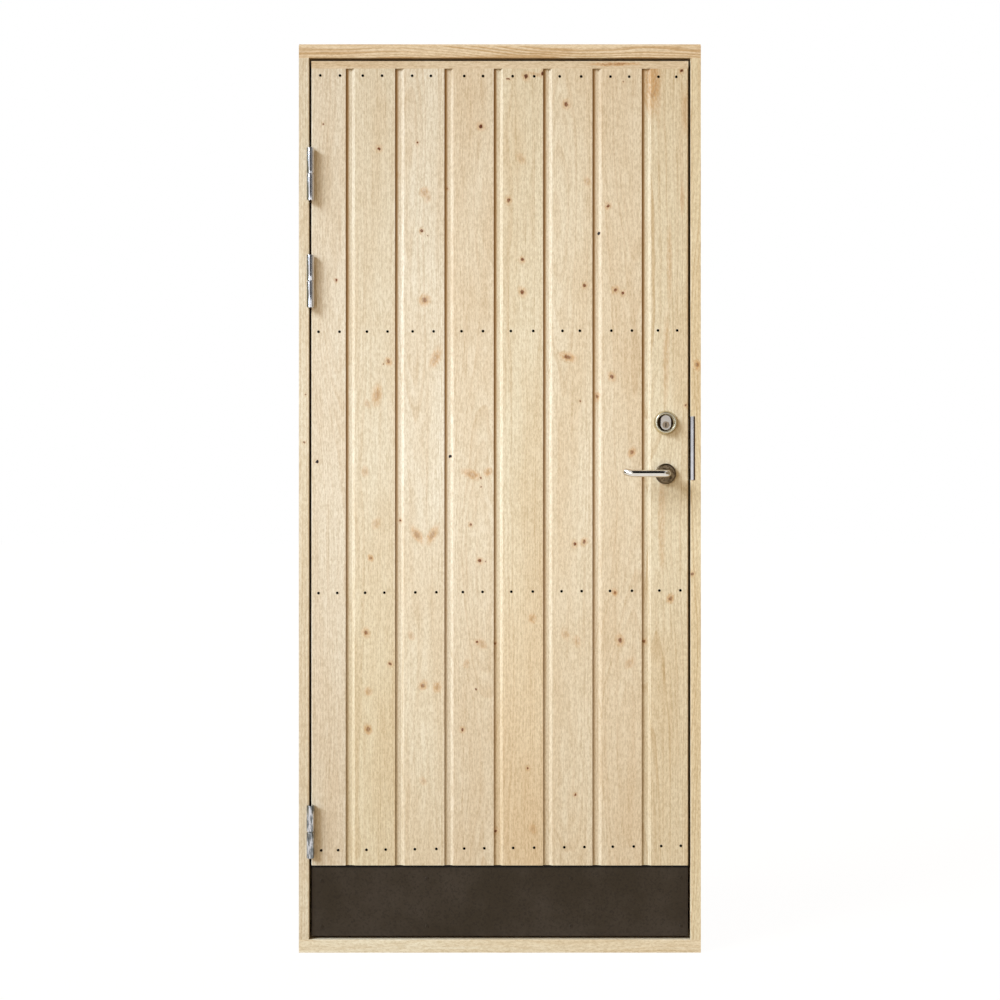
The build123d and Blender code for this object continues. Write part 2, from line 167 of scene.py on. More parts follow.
class FittingChoices(bpy.types.PropertyGroup):
    """Sizes of the lever and of the small fastenings."""

    nail_head: length_choice("Nail head", "Diameter of a nail head", 6.0)
    nail_proud: length_choice("Nail stand", "How far a nail head stands out", 0.5)
    screw_head: length_choice("Screw head", "Diameter of a screw head", 7.5)
    screw_proud: length_choice("Screw stand", "How far a screw head stands out", 0.9)
    flush_proud: length_choice("Flush screw stand", "Stand of a countersunk head", 0.2)
    elbow_radius: length_choice("Elbow radius", "Bend of the lever at its neck", 14)
    tip_radius: length_choice("Tip radius", "Bend of the lever at its tip", 24)
    tip_length: length_choice("Tip length", "Straight end of the lever", 7)
    grip_straight: length_choice("Grip length", "Straight part of the grip", 58)
    tip_bend: angle_choice("Tip bend", "How far the tip turns back to the leaf", 38)
    tip_lift: angle_choice("Tip lift", "How far the turned tip leans upwards", 28)


class StageChoices(bpy.types.PropertyGroup):
    """Light and camera."""

    key: bpy.props.FloatProperty(
        name="Key light", description="Strength of the key light", default=3.87, min=0
    )
    fill: bpy.props.FloatProperty(
        name="Fill light", description="Strength of the light all round", default=0.4, min=0
    )
    softness: angle_choice("Softness", "Width of the key light seen from the door", 27)
    camera_distance: length_choice("Camera distance", "From the front of the frame", 3300)
    camera_height: length_choice("Camera height", "Above the floor", 990.8)
    lens: bpy.props.FloatProperty(
        name="Lens", description="Focal length in millimetres", default=54.28, min=1
    )
    side: bpy.props.FloatProperty(
        name="Side light",
        description="Power of the soft spot at the left in watts",
        default=146,
        min=0,
        subtype="POWER",
        unit="POWER",
    )
    key_colour: colour_choice("Key colour", "Cool daylight of the key light", 217, 234, 255)
    fill_colour: colour_choice("Fill colour", "Light thrown back by timber walls", 255, 225, 180)
    paper: colour_choice("Floor", "Pale floor", 216, 196, 164)


def choices(name):
    """The settings of one group."""
    return getattr(bpy.context.scene, "door_" + name)


# Node trees

ORIGIN = (0, 0, 0)
WHITE = (1, 1, 1, 1)
BLACK = (0, 0, 0, 1)
SURFACE = {"Color": BLACK, "Roughness": 0, "Height": 0}


def feed(tree, socket, value):
    """Links a socket or sets a plain value, with its fourth part added to a colour."""
    if isinstance(value, bpy.types.NodeSocket):
        tree.links.new(value, socket)
    elif socket.type == "RGBA" and len(value) == 3:
        socket.default_value = (*value, 1)
    else:
        socket.default_value = value


def calc(tree, operation, *values):
    """A math node's result."""
    maker = tree.nodes.new("ShaderNodeMath")
    maker.operation = operation
    for socket, value in zip(maker.inputs, values):
        feed(tree, socket, value)
    return maker.outputs[0]


def times(tree, first, second):
    """Two values multiplied."""
    return calc(tree, "MULTIPLY", first, second)


def scale_add(tree, value, factor, base):
    """A value multiplied, and another added to it."""
    return calc(tree, "MULTIPLY_ADD", value, factor, base)


def distance(tree, value, line):
    """How far a value lies from a line."""
    return calc(tree, "ABSOLUTE", calc(tree, "SUBTRACT", value, line))


def vector_calc(tree, operation, *values, out=0):
    """A vector math node's result."""
    maker = tree.nodes.new("ShaderNodeVectorMath")
    maker.operation = operation
    for socket, value in zip(maker.inputs, values):
        feed(tree, socket, value)
    return maker.outputs[out]


def axes(tree, place):
    """The three coordinates of a place."""
    maker = tree.nodes.new("ShaderNodeSeparateXYZ")
    feed(tree, maker.inputs[0], place)
    return maker.outputs


def ramp(tree, value, low, high, to_low=0.0, to_high=1.0):
    """A smooth step from low to high."""
    maker = tree.nodes.new("ShaderNodeMapRange")
    maker.interpolation_type = "SMOOTHSTEP"
    for label, part in (
        ("Value", value),
        ("From Min", low),
        ("From Max", high),
        ("To Min", to_low),
        ("To Max", to_high),
    ):
        feed(tree, maker.inputs[label], part)
    return maker.outputs["Result"]


def near_line(tree, value, line, reach, soft):
    """One within reach of a line, falling to nothing over a soft margin."""
    return ramp(tree, distance(tree, value, line), reach + soft, reach)


def blend(tree, amount, first, second, kind="MIX"):
    """One colour over another."""
    maker = tree.nodes.new("ShaderNodeMix")
    maker.data_type = "RGBA"
    maker.blend_type = kind
    maker.clamp_factor = True
    feed(tree, maker.inputs[0], amount)
    feed(tree, maker.inputs[6], first)
    feed(tree, maker.inputs[7], second)
    return maker.outputs[2]


def noise(tree, place, scale, detail=2.0, rough=0.5):
    """A cloudy value between 0 and 1."""
    maker = tree.nodes.new("ShaderNodeTexNoise")
    feed(tree, maker.inputs["Vector"], place)
    maker.inputs["Scale"].default_value = scale
    maker.inputs["Detail"].default_value = detail
    maker.inputs["Roughness"].default_value = rough
    return maker.outputs["Fac"]


def grain_noise(tree, place, across, along, detail=3, rough=0.6):
    """A cloudy value squeezed across the grain and drawn out along it."""
    stretched = vector_calc(tree, "MULTIPLY", place, (across, across, along))
    return noise(tree, stretched, 1.0, detail, rough)


def socket_kind(sample):
    """The kind of socket that a sample value fits."""
    if isinstance(sample, (int, float)):
        return "NodeSocketFloat"
    return "NodeSocketColor" if len(sample) == 4 else "NodeSocketVector"


def shared_group(name, inputs, outputs):
    """Makes a function that fills a shader group into one that returns it, made only once."""

    def wrap(fill):
        def get_group():
            group = bpy.data.node_groups.get(name)
            if group:
                return group
            group = bpy.data.node_groups.new(name, "ShaderNodeTree")
            for way, sockets in (("INPUT", inputs), ("OUTPUT", outputs)):
                for label, sample in sockets.items():
                    socket = group.interface.new_socket(
                        label, in_out=way, socket_type=socket_kind(sample)
                    )
                    socket.default_value = sample
            given = group.nodes.new("NodeGroupInput").outputs
            fill(group, given, group.nodes.new("NodeGroupOutput").inputs)
            return group

        return get_group

    return wrap


def place_group(tree, group, **values):
    """A group in a tree, its sockets fed by name."""
    maker = tree.nodes.new("ShaderNodeGroup")
    maker.node_tree = group
    for label, value in values.items():
        feed(tree, maker.inputs[label.replace("_", " ")], value)
    return maker.outputs


@shared_group(
    "knot",
    {
        "Place": ORIGIN,
        "Centre": ORIGIN,
        "Half Size": (1, 1, 1),
        "Turn": 0,
        "Darkness": 1,
        "Stain": 0.5,
        "Hearts Before": 0,
        "Halos Before": 0,
    },
    {"Hearts": 0, "Halos": 0},
)
def knot_group(tree, given, result):
    """One knot: a dark heart with a rim, in a stained halo, added to those before it."""
    turned = tree.nodes.new("ShaderNodeVectorRotate")
    turned.rotation_type = "Y_AXIS"
    offset = vector_calc(tree, "SUBTRACT", given["Place"], given["Centre"])
    feed(tree, turned.inputs["Vector"], offset)
    feed(tree, turned.inputs["Angle"], given["Turn"])
    scaled = vector_calc(tree, "DIVIDE", turned.outputs[0], given["Half Size"])
    reach = vector_calc(tree, "LENGTH", scaled, out=1)
    heart = times(tree, ramp(tree, reach, 1.1, 0.65), given["Darkness"])
    rim = times(tree, ramp(tree, distance(tree, reach, 1.0), 0.3, 0.0), given["Stain"])
    heart = calc(tree, "MAXIMUM", heart, times(tree, rim, 0.3))
    halo = times(tree, ramp(tree, reach, 3.2, 0.8), given["Stain"])
    feed(tree, result["Hearts"], calc(tree, "MAXIMUM", heart, given["Hearts Before"]))
    feed(tree, result["Halos"], calc(tree, "MAXIMUM", halo, given["Halos Before"]))


# How far the pith wanders across and into a board, in metres, how far the rings sway,
# and how far a knot pushes them aside
PITH_WANDER = (0.09, 0.05)
RING_SWAY = 0.006
KNOT_PUSH = 0.005
# Light and dull flecks on the sawn face, as changes of the wood's colour
LIT_FLECK = (1.135, 1.16, 1.21)
DULL_FLECK = (0.845, 0.795, 0.71)


@shared_group(
    "softwood",
    {
        "Place": ORIGIN,
        "Seed": 0,
        "Pith Across": 0,
        "Pith Depth": 0.03,
        "Ring Width": 0.0026,
        "Contrast": 1,
        "Hearts": 0,
        "Halos": 0,
        "Pale": WHITE,
        "Warm": WHITE,
        "Late": WHITE,
        "Knot": WHITE,
        "Halo": WHITE,
    },
    SURFACE,
)
def softwood_group(tree, given, result):
    """Sawn softwood with year rings round a pith, fibres and knots, grain along Z."""
    seed = tree.nodes.new("ShaderNodeCombineXYZ")
    for socket in seed.inputs:
        feed(tree, socket, given["Seed"])
    place = vector_calc(tree, "ADD", given["Place"], seed.outputs[0])
    parts = axes(tree, given["Place"])

    # The pith wanders along the board, which draws long arches
    drift = calc(tree, "SUBTRACT", grain_noise(tree, place, 1.5, 1.1, 1, 0.5), 0.5)
    sway = calc(tree, "SUBTRACT", grain_noise(tree, place, 25, 4, 2, 0.5), 0.5)
    across = calc(tree, "SUBTRACT", parts[0], given["Pith Across"])
    across = scale_add(tree, drift, PITH_WANDER[0], across)
    depth = calc(tree, "SUBTRACT", parts[1], given["Pith Depth"])
    depth = scale_add(tree, drift, PITH_WANDER[1], depth)
    squares = calc(tree, "ADD", times(tree, across, across), times(tree, depth, depth))
    ring_reach = scale_add(tree, sway, RING_SWAY, calc(tree, "SQRT", squares))
    ring_reach = scale_add(tree, given["Halos"], KNOT_PUSH, ring_reach)
    rings = calc(tree, "DIVIDE", ring_reach, given["Ring Width"])
    growth = calc(tree, "FRACT", rings)
    year = tree.nodes.new("ShaderNodeTexWhiteNoise")
    year.noise_dimensions = "1D"
    feed(tree, year.inputs["W"], calc(tree, "FLOOR", rings))
    late = times(tree, ramp(tree, growth, 0.25, 0.9), ramp(tree, growth, 1.0, 0.93))
    late = times(tree, late, scale_add(tree, year.outputs[0], 0.8, 0.2))

    fibres = grain_noise(tree, place, 430, 16)
    streaks = grain_noise(tree, place, 130, 2.5, rough=0.55)
    patches = grain_noise(tree, place, 14, 2.2, rough=0.55)
    specks = grain_noise(tree, place, 380, 130, rough=0.7)
    ragged = ramp(tree, grain_noise(tree, place, 260, 120), 0.3, 0.65)

    tone = blend(tree, ramp(tree, patches, 0.35, 0.7), given["Pale"], given["Warm"])
    streak_part = times(tree, ramp(tree, streaks, 0.48, 0.8), 0.5)
    lines = calc(tree, "ADD", times(tree, late, 0.5), streak_part)
    tone = blend(tree, times(tree, lines, given["Contrast"]), tone, given["Late"])
    fibre_part = ramp(tree, fibres, 0.35, 0.7, 0, 0.28)
    fleck = scale_add(tree, ramp(tree, specks, 0.36, 0.66), 0.72, fibre_part)
    lit = blend(tree, 1.0, tone, LIT_FLECK, "MULTIPLY")
    dull = blend(tree, 1.0, tone, DULL_FLECK, "MULTIPLY")
    tone = blend(tree, fleck, lit, dull)
    stain_and_shade = times(tree, given["Halos"], scale_add(tree, ragged, 0.6, 0.35))
    tone = blend(tree, stain_and_shade, tone, given["Halo"])
    dark_part = times(tree, given["Hearts"], scale_add(tree, ragged, 0.35, 0.7))
    tone = blend(tree, dark_part, tone, given["Knot"])
    tone = blend(tree, ramp(tree, given["Hearts"], 1.0, 1.4), tone, shade(26, 22, 20))
    feed(tree, result["Color"], tone)
    feed(tree, result["Roughness"], scale_add(tree, fibres, 0.2, 0.5))
    ridge = scale_add(tree, late, 0.35, times(tree, fibres, 0.5))
    feed(tree, result["Height"], scale_add(tree, given["Hearts"], 0.3, ridge))


@shared_group(
    "handled metal",
    {"Place": ORIGIN, "Metal": WHITE, "Bloom": 0.2, "Gloss": 0.3, "Spread": 0.1},
    SURFACE,
)
def handled_metal_group(tree, given, result):
    """Metal with fine marks, a cloudy bloom and a little dullness."""
    clouds = noise(tree, given["Place"], 60, 4, 0.6)
    marks = grain_noise(tree, given["Place"], 1500, 90)
    spots = noise(tree, given["Place"], 420, 3, 0.6)
    dull = times(tree, ramp(tree, clouds, 0.35, 0.75), given["Bloom"])
    dull = scale_add(tree, ramp(tree, spots, 0.55, 0.8), 0.12, dull)
    feed(tree, result["Color"], blend(tree, dull, given["Metal"], shade(128, 126, 122)))
    rough = scale_add(tree, clouds, given["Spread"], given["Gloss"])
    rough = scale_add(tree, marks, times(tree, given["Spread"], 0.5), rough)
    feed(tree, result["Roughness"], rough)
    feed(tree, result["Height"], scale_add(tree, marks, 0.4, spots))


@shared_group("coated sheet", {"Place": ORIGIN, "Coat": WHITE}, SURFACE)
def coated_sheet_group(tree, given, result):
    """Baked coating with a fine mottle and light scuffs."""
    place = given["Place"]
    grit = noise(tree, place, 900, 2, 0.6)
    clouds = noise(tree, place, 9, 4, 0.6)
    mottle = noise(tree, place, 210, 3, 0.6)
    scuffs = grain_noise(tree, place, 40, 400, 4)
    tone = given["Coat"]
    for mask, colour in (
        (ramp(tree, clouds, 0.35, 0.7, 0, 0.4), shade(82, 72, 62)),
        (ramp(tree, grit, 0.55, 0.8, 0, 0.3), shade(96, 86, 74)),
        (ramp(tree, mottle, 0.45, 0.7, 0, 0.45), shade(34, 26, 18)),
        (ramp(tree, scuffs, 0.66, 0.8, 0, 0.22), shade(120, 110, 98)),
    ):
        tone = blend(tree, mask, tone, colour)
    feed(tree, result["Color"], tone)
    feed(tree, result["Roughness"], scale_add(tree, clouds, 0.2, 0.42))
    feed(tree, result["Height"], grit)


# Materials


def start_material(name):
    """A material with its shader and the piece's own coordinates."""
    material = bpy.data.materials.new(name)
    material.use_nodes = True
    tree = material.node_tree
    place = tree.nodes.new("ShaderNodeTexCoord").outputs["Object"]
    return material, tree, tree.nodes["Principled BSDF"], place


def add_finish(tree, shader, tone, look, strength, distance_out):
    """Colour, roughness and relief of a surface on its shader."""
    tree.links.new(tone, shader.inputs["Base Color"])
    tree.links.new(look["Roughness"], shader.inputs["Roughness"])
    bump = tree.nodes.new("ShaderNodeBump")
    bump.inputs["Strength"].default_value = strength
    bump.inputs["Distance"].default_value = distance_out
    feed(tree, bump.inputs["Height"], look["Height"])
    tree.links.new(bump.outputs[0], shader.inputs["Normal"])


def tinted(colour, tint):
    """A wood colour of one board, a little lighter, darker or pinker than the rest."""
    return tuple(min(1.0, part * change) for part, change in zip(colour, tint))


# Half sizes in millimetres, darkness of the heart, strength of the halo
KNOT_KINDS = {
    "speck": (2.3, 2.6, 1.0, 0.1),
    "spot": (3.4, 3.8, 1.8, 0.1),
    "tiny": (1.9, 2.2, 0.85, 0.25),
    "small": (2.9, 3.4, 0.95, 0.45),
    "dark": (3.3, 3.6, 1.0, 0.5),
    "red": (3.6, 4.8, 0.68, 0.75),
    "medium": (4.5, 5.8, 0.88, 0.6),
    "blot": (3.9, 4.4, 1.15, 0.5),
    "broad": (6.0, 6.6, 0.62, 0.7),
    "dash": (2.0, 5.2, 0.95, 0.25),
    "burr": (4.2, 9.5, 0.35, 0.68),
    "faint": (3.8, 5.6, 0.16, 0.4),
    "ring": (4.6, 5.6, 0.2, 0.6),
    "smear": (4.2, 9.5, 0.24, 0.65),
    "oval": (10.0, 5.6, 0.75, 0.75),
    "streak": (2.2, 18.0, 0.12, 0.42),
    "long": (3.2, 46.0, 0.02, 0.34),
    "patch": (8.0, 30.0, 0.02, 0.75),
    "flare": (1.6, 20.0, 0.45, 0.9),
}
# Knots with half a height over this stand upright
UPRIGHT_KNOT = 12
# How far the outline of a knot wavers
KNOT_WAVER = (4 * MM, 4 * MM, 6 * MM)

# Knots of each board: across and up in millimetres, kind, and a plain lean in degrees
BOARD_KNOTS = {
    1: [(-386, 1814, "tiny"), (-358, 1472, "small"), (-400, 1075, "spot")],
    2: [
        (-264, 1760, "dark"), (-244, 1294, "red"), (-255, 1289, "tiny"),
        (-269, 1220, "smear", -8), (-290, 1201, "faint"), (-295, 1053, "faint"),
        (-271, 939, "faint"), (-283, 864, "red"), (-293, 701, "red"),
        (-240, 632, "dark"), (-288, 572, "ring"), (-288, 489, "red"),
    ],
    3: [
        (-181, 1773, "small"), (-228, 1704, "small"), (-165, 1664, "ring"),
        (-158, 1651, "faint"), (-171, 1580, "small"), (-158, 1570, "tiny"),
        (-165, 1428, "broad"), (-141, 1301, "smear", -20), (-218, 946, "dark"),
        (-181, 914, "burr", 35), (-148, 914, "burr", -28), (-194, 694, "faint"),
        (-168, 585, "red"), (-137, 581, "ring"), (-168, 376, "faint"),
    ],
    4: [
        (-42, 1808, "blot"), (-116, 1673, "small"), (-109, 1086, "spot"),
        (-62, 1047, "smear", 70), (-26, 1052, "ring", -40), (-42, 1039, "tiny"),
        (-41, 1020, "tiny"), (-64, 937, "small"), (-44, 858, "dark"),
        (-31, 856, "tiny"), (-50, 680, "small"), (-39, 676, "faint"),
        (-73, 633, "faint"), (-52, 577, "speck"), (-82, 488, "dark"),
    ],
    5: [
        (18, 1912, "dash", 84), (57, 1918, "blot"), (84, 1922, "streak", 80),
        (94, 1924, "blot"), (46, 1738, "faint"), (19, 1647, "medium"),
        (49, 1517, "dark"), (49, 1446, "medium"), (71, 732, "ring"),
        (-11, 676, "small"), (61, 404, "small"), (72, 271, "faint"),
        (-10, 266, "small"),
    ],
    6: [
        (145, 1857, "medium"), (192, 1688, "faint"), (185, 1460, "small"),
        (148, 1304, "oval"), (176, 1207, "tiny"), (164, 894, "dark"),
        (184, 899, "medium"), (143, 696, "faint"), (169, 682, "faint"),
        (165, 346, "dark"),
    ],
    7: [
        (237, 1634, "dark"), (217, 1575, "spot"), (253, 1451, "medium"),
        (269, 1443, "small"), (245, 1261, "medium"), (213, 1217, "red"),
        (289, 1095, "red"), (252, 788, "red"), (263, 684, "medium"),
        (284, 634, "faint"), (270, 1906, "tiny"),
    ],
    8: [
        (398, 1930, "blot"), (333, 1908, "patch"), (373, 775, "red"),
        (407, 1198, "small"), (315, 681, "dark"), (347, 1905, "long"),
        (399, 1652, "streak"), (404, 1840, "streak"), (371, 1511, "long"),
        (364, 1300, "long"), (354, 948, "long"),
    ],
}
STRIP_KNOTS = [(262, 1945, "flare", 90), (236, 1944, "flare", 90)]
JAMB_KNOTS = {
    "hinge_jamb": [(-428, 1117, "tiny"), (-425, 1222, "tiny")],
    "lock_jamb": [(432, 1286, "red"), (421, 829, "small")],
}
# Tint and contrast of each board
BOARD_TONES = {
    1: ((0.972, 1.0, 1.053), 0.8),
    2: ((0.965, 1.0, 1.028), 0.8),
    3: ((1.01, 1.063, 1.141), 0.9),
    4: ((0.975, 0.986, 1.0), 0.8),
    5: ((0.972, 0.995, 0.985), 0.8),
    6: ((0.985, 1.0, 1.007), 0.75),
    7: ((0.961, 0.954, 0.939), 0.75),
    8: ((0.96, 0.972, 0.941), 1.15),
}
# Boards that grow yellower towards the ground, and from where to where
BOARD_FEET = {2: (1.0, 0.975, 0.9), 3: (1.0, 0.985, 0.945), 5: (1.0, 0.935, 0.87)}
FOOT_LEVELS = (1.1, 0.5)

# Painted shade deep in a board joint: its reach to each side, the share of that where it is full,
# the depths behind the face where it starts and is full, and the levels where it does so, so that
# it fades towards the ground
JOINT_SHADE_REACH = 9 * MM
JOINT_SHADE_CORE = 0.35
JOINT_SHADE_DEPTHS = (1.5 * MM, 4.5 * MM)
JOINT_SHADE_LEVELS = (0.2, 1.3)

# Painted shadow beside the strike plate's recess in the jamb, half its width, and its soft margins
STRIKE_SHADOW_HALF = 1.8 * MM
STRIKE_SHADOW_SOFT = (0.4 * MM, 1 * MM)

# Colour that timber shows to other timber, and its share
DIM_WOOD, DIM_SHARE = shade(70, 44, 20), 0.95


def chain_knots(tree, place, knots, seed):
    """Masks of all the knots of one piece."""
    if not knots:
        return 0.0, 0.0
    wobble = tree.nodes.new("ShaderNodeTexNoise")
    wobble.inputs["Scale"].default_value = 140
    wobble.inputs["Detail"].default_value = 1
    feed(tree, wobble.inputs["Vector"], place)
    shift = vector_calc(tree, "SUBTRACT", wobble.outputs["Color"], (0.5, 0.5, 0.5))
    shift = vector_calc(tree, "MULTIPLY", shift, KNOT_WAVER)
    bent = vector_calc(tree, "ADD", place, shift)
    hearts = halos = 0.0
    for number, (across, up, kind, *leans) in enumerate(knots):
        half_width, half_height, darkness, stain_and_shade = KNOT_KINDS[kind]
        vary = 1 + 0.18 * math.sin(seed + 2.3 * number)
        lean = 0.0
        if leans:
            lean = math.radians(leans[0])
        elif half_height < UPRIGHT_KNOT:
            lean = 0.5 * math.sin(1.7 * seed + 1.9 * number)
        masks = place_group(
            tree,
            knot_group(),
            Place=bent,
            Centre=(across * MM, 0, up * MM),
            Half_Size=(half_width * vary * MM, 1000, half_height * vary * MM),
            Turn=lean,
            Darkness=darkness,
            Stain=stain_and_shade,
            Hearts_Before=hearts,
            Halos_Before=halos,
        )
        hearts, halos = masks["Hearts"], masks["Halos"]
    return hearts, halos


def timber_material(
    name, seed, along, pith, tint, contrast, knots=(), joint_shade=None, strike_shadow=None, foot=None
):
    """Bare softwood for one piece, with its own run of grain."""
    look = choices("timber")
    material, tree, shader, place = start_material(name)
    hearts, halos = chain_knots(tree, place, knots, seed)
    grain_place = place
    if along == "X":
        turn = tree.nodes.new("ShaderNodeMapping")
        turn.inputs["Rotation"].default_value = (0, SQUARE, 0)
        feed(tree, turn.inputs["Vector"], place)
        grain_place = turn.outputs[0]
    wood = place_group(
        tree,
        softwood_group(),
        Place=grain_place,
        Seed=seed,
        Pith_Across=pith[0],
        Pith_Depth=pith[1],
        Ring_Width=look.ring_width,
        Contrast=contrast,
        Hearts=hearts,
        Halos=halos,
        Pale=tinted(look.pale, tint),
        Warm=tinted(look.warm, tint),
        Late=tinted(look.late, tint),
        Knot=tuple(look.knot),
        Halo=tinted(look.halo, tint),
    )
    tone = wood["Color"]
    if foot:
        low_down = ramp(tree, axes(tree, place)[2], *FOOT_LEVELS)
        tone = blend(tree, low_down, tone, foot, "MULTIPLY")
    # Painted shade deep in the channel beside the board joint, fading towards the ground
    if joint_shade:
        line, face = joint_shade
        parts = axes(tree, place)
        gap = distance(tree, parts[0], line)
        near = ramp(tree, gap, JOINT_SHADE_REACH, JOINT_SHADE_REACH * JOINT_SHADE_CORE)
        deep = ramp(tree, parts[1], *(face + depth for depth in JOINT_SHADE_DEPTHS))
        near = times(tree, near, ramp(tree, parts[2], *JOINT_SHADE_LEVELS))
        tone = blend(tree, times(tree, near, deep), tone, tuple(look.joint_shade))
    # Painted shadow: a dark line on the jamb just beside the strike plate
    if strike_shadow:
        low, high = strike_shadow
        parts = axes(tree, place)
        beside = near_line(tree, parts[0], high.x + STRIKE_SHADOW_HALF, STRIKE_SHADOW_HALF, STRIKE_SHADOW_SOFT[0])
        middle, half_height = (low.z + high.z) / 2, (high.z - low.z) / 2
        level = near_line(tree, parts[2], middle, half_height, STRIKE_SHADOW_SOFT[1])
        tone = blend(tree, times(tree, beside, level), tone, shade(56, 30, 16))
    # Little light is passed from timber to timber, so that the gap round the leaf stays dark
    path = tree.nodes.new("ShaderNodeLightPath")
    passed_on = times(tree, path.outputs["Is Diffuse Ray"], DIM_SHARE)
    tone = blend(tree, passed_on, tone, DIM_WOOD)
    shader.inputs["Specular IOR Level"].default_value = 0.3
    add_finish(tree, shader, tone, wood, 0.35, 0.4 * MM)
    return material


# Roughness, its spread and the strength of the bloom of each metal
METAL_FINISHES = {
    "plated steel": (0.08, 0.07, 0.2),
    "polished handle": (0.05, 0.07, 0.12),
    "rose metal": (0.2, 0.12, 0.3),
    "brassy nickel": (0.2, 0.12, 0.2),
    "cylinder nickel": (0.4, 0.12, 0.2),
    "plug brass": (0.24, 0.12, 0.3),
    "ground bolts": (0.28, 0.14, 0.2),
    "nail steel": (0.6, 0.2, 0.0),
}


def metal_material(name, metal, stain_and_shade=None, cast=None):
    """Bare or plated metal, darkened where the given function of place says, which paints shade in
    the keyway and dark reflections on the rose and the lowest hinge.
    """
    material, tree, shader, place = start_material(name)
    gloss, spread, bloom = METAL_FINISHES[name]
    look = place_group(
        tree,
        handled_metal_group(),
        Place=place,
        Metal=tuple(metal),
        Bloom=bloom,
        Gloss=gloss,
        Spread=spread,
    )
    tone = look["Color"]
    # Painted shade and reflection from the given function of place
    if stain_and_shade:
        tone = blend(tree, stain_and_shade(tree, place), tone, tuple(cast))
    shader.inputs["Metallic"].default_value = 1.0
    add_finish(tree, shader, tone, look, 0.05, 0.2 * MM)
    return material


# Painted shadow along the top of the kick plate, by how far it lies under the ends of the boards
SHADOW_UNDER_BOARDS = (7 * MM, 4.5 * MM)


def coated_material(name, coat, board_ends):
    """Coated sheet with a painted shadow along its top, under the ends of the boards."""
    material, tree, shader, place = start_material(name)
    look = place_group(tree, coated_sheet_group(), Place=place, Coat=tuple(coat))
    up = axes(tree, place)[2]
    # Painted shadow: the ends of the boards darken a line along the top of the plate
    painted_shadow = ramp(tree, up, *(board_ends - drop for drop in SHADOW_UNDER_BOARDS))
    tone = blend(tree, painted_shadow, look["Color"], shade(10, 5, 2))
    shader.inputs["Specular IOR Level"].default_value = 0.18
    add_finish(tree, shader, tone, look, 0.12, 0.3 * MM)
    return material


def low_painted_reflection(tree, place):
    """Painted reflection: dull patches near the ground, darkening the lowest hinge."""
    clouds = ramp(tree, grain_noise(tree, place, 160, 40), 0.4, 0.6, 0.05, 0.8)
    return times(tree, clouds, ramp(tree, axes(tree, place)[2], 0.45, 0.3))


def plated():
    """The one plated steel of hinges, strike and screws."""
    found = bpy.data.materials.get("plated steel")
    look = choices("metal")
    return found or metal_material("plated steel", look.plated, low_painted_reflection, look.stain_and_shade)


def dress(name, material):
    """Puts a material on a CAD node."""
    node = frame["nodes"][name]
    if not node.material_slots:
        raise RuntimeError(f"{name} has no material slot")
    for slot in node.material_slots:
        slot.material = material


# Modelling


def clear_selection():
    """Nothing selected, in object mode."""
    if bpy.context.object and bpy.context.object.mode != "OBJECT":
        bpy.ops.object.mode_set(mode="OBJECT")
    bpy.ops.object.select_all(action="DESELECT")


def take_up(*pieces):
    """Selects pieces and nothing else, the first of them active."""
    clear_selection()
    for piece in pieces:
        piece.select_set(True)
    bpy.context.view_layer.objects.active = pieces[0]


def begin_edit(piece):
    """Edit mode on one piece with nothing selected in it."""
    take_up(piece)
    bpy.ops.object.mode_set(mode="EDIT")
    bpy.ops.mesh.select_mode(type="FACE")
    bpy.ops.mesh.select_all(action="DESELECT")


def end_edit():
    """Back to object mode."""
    bpy.ops.object.mode_set(mode="OBJECT")


def pick_faces(test):
    """Selects the faces of the piece in edit mode whose middle and normal pass a test."""
    mesh = bmesh.from_edit_mesh(bpy.context.object.data)
    bpy.ops.mesh.select_mode(type="FACE")
    count = 0
    for face in mesh.faces:
        wanted = bool(test(face.calc_center_median(), face.normal))
        face.select_set(wanted)
        count += wanted
    mesh.select_flush_mode()
    bmesh.update_edit_mesh(bpy.context.object.data)
    if not count:
        raise RuntimeError("no face found to work on")


def pick_edges(test):
    """Selects the edges of the piece in edit mode whose two ends pass a test."""
    bpy.ops.mesh.select_mode(type="EDGE")
    mesh = bmesh.from_edit_mesh(bpy.context.object.data)
    for part in (*mesh.verts, *mesh.edges, *mesh.faces):
        part.select = False
    count = 0
    for edge in mesh.edges:
        if test(edge.verts[0].co, edge.verts[1].co):
            edge.select_set(True)
            count += 1
    bmesh.update_edit_mesh(bpy.context.object.data)
    if not count:
        raise RuntimeError("no edge found to work on")


def push(x, y, z):
    """Draws the selected faces or edges out and moves the new ones."""
    bpy.ops.mesh.extrude_region_move(TRANSFORM_OT_translate={"value": (x, y, z)})


def ease(offset, segments):
    """Rounds the selected edges."""
    bpy.ops.mesh.bevel(offset=offset, segments=segments, affect="EDGES")


def settle():
    """Puts the active piece's place and turn into its mesh."""
    bpy.ops.object.transform_apply(location=True, rotation=True, scale=True)


def smooth(piece, angle=35):
    """Smooth shading with crisp edges."""
    take_up(piece)
    bpy.ops.object.shade_smooth_by_angle(angle=math.radians(angle))


def close_up(piece):
    """Merges doubles and turns all faces outwards."""
    begin_edit(piece)
    bpy.ops.mesh.select_all(action="SELECT")
    bpy.ops.mesh.remove_doubles(threshold=0.005 * MM)
    bpy.ops.mesh.normals_make_consistent(inside=False)
    end_edit()


def rename(piece, name):
    """One name for a piece and its mesh."""
    piece.name = name
    piece.data.name = name


def copy_of(piece, name, move=ORIGIN):
    """A copy with its own mesh, moved in its mesh."""
    take_up(piece)
    bpy.ops.object.duplicate(linked=False)
    copy = bpy.context.object
    rename(copy, name)
    copy.location = Vector(move)
    settle()
    return copy


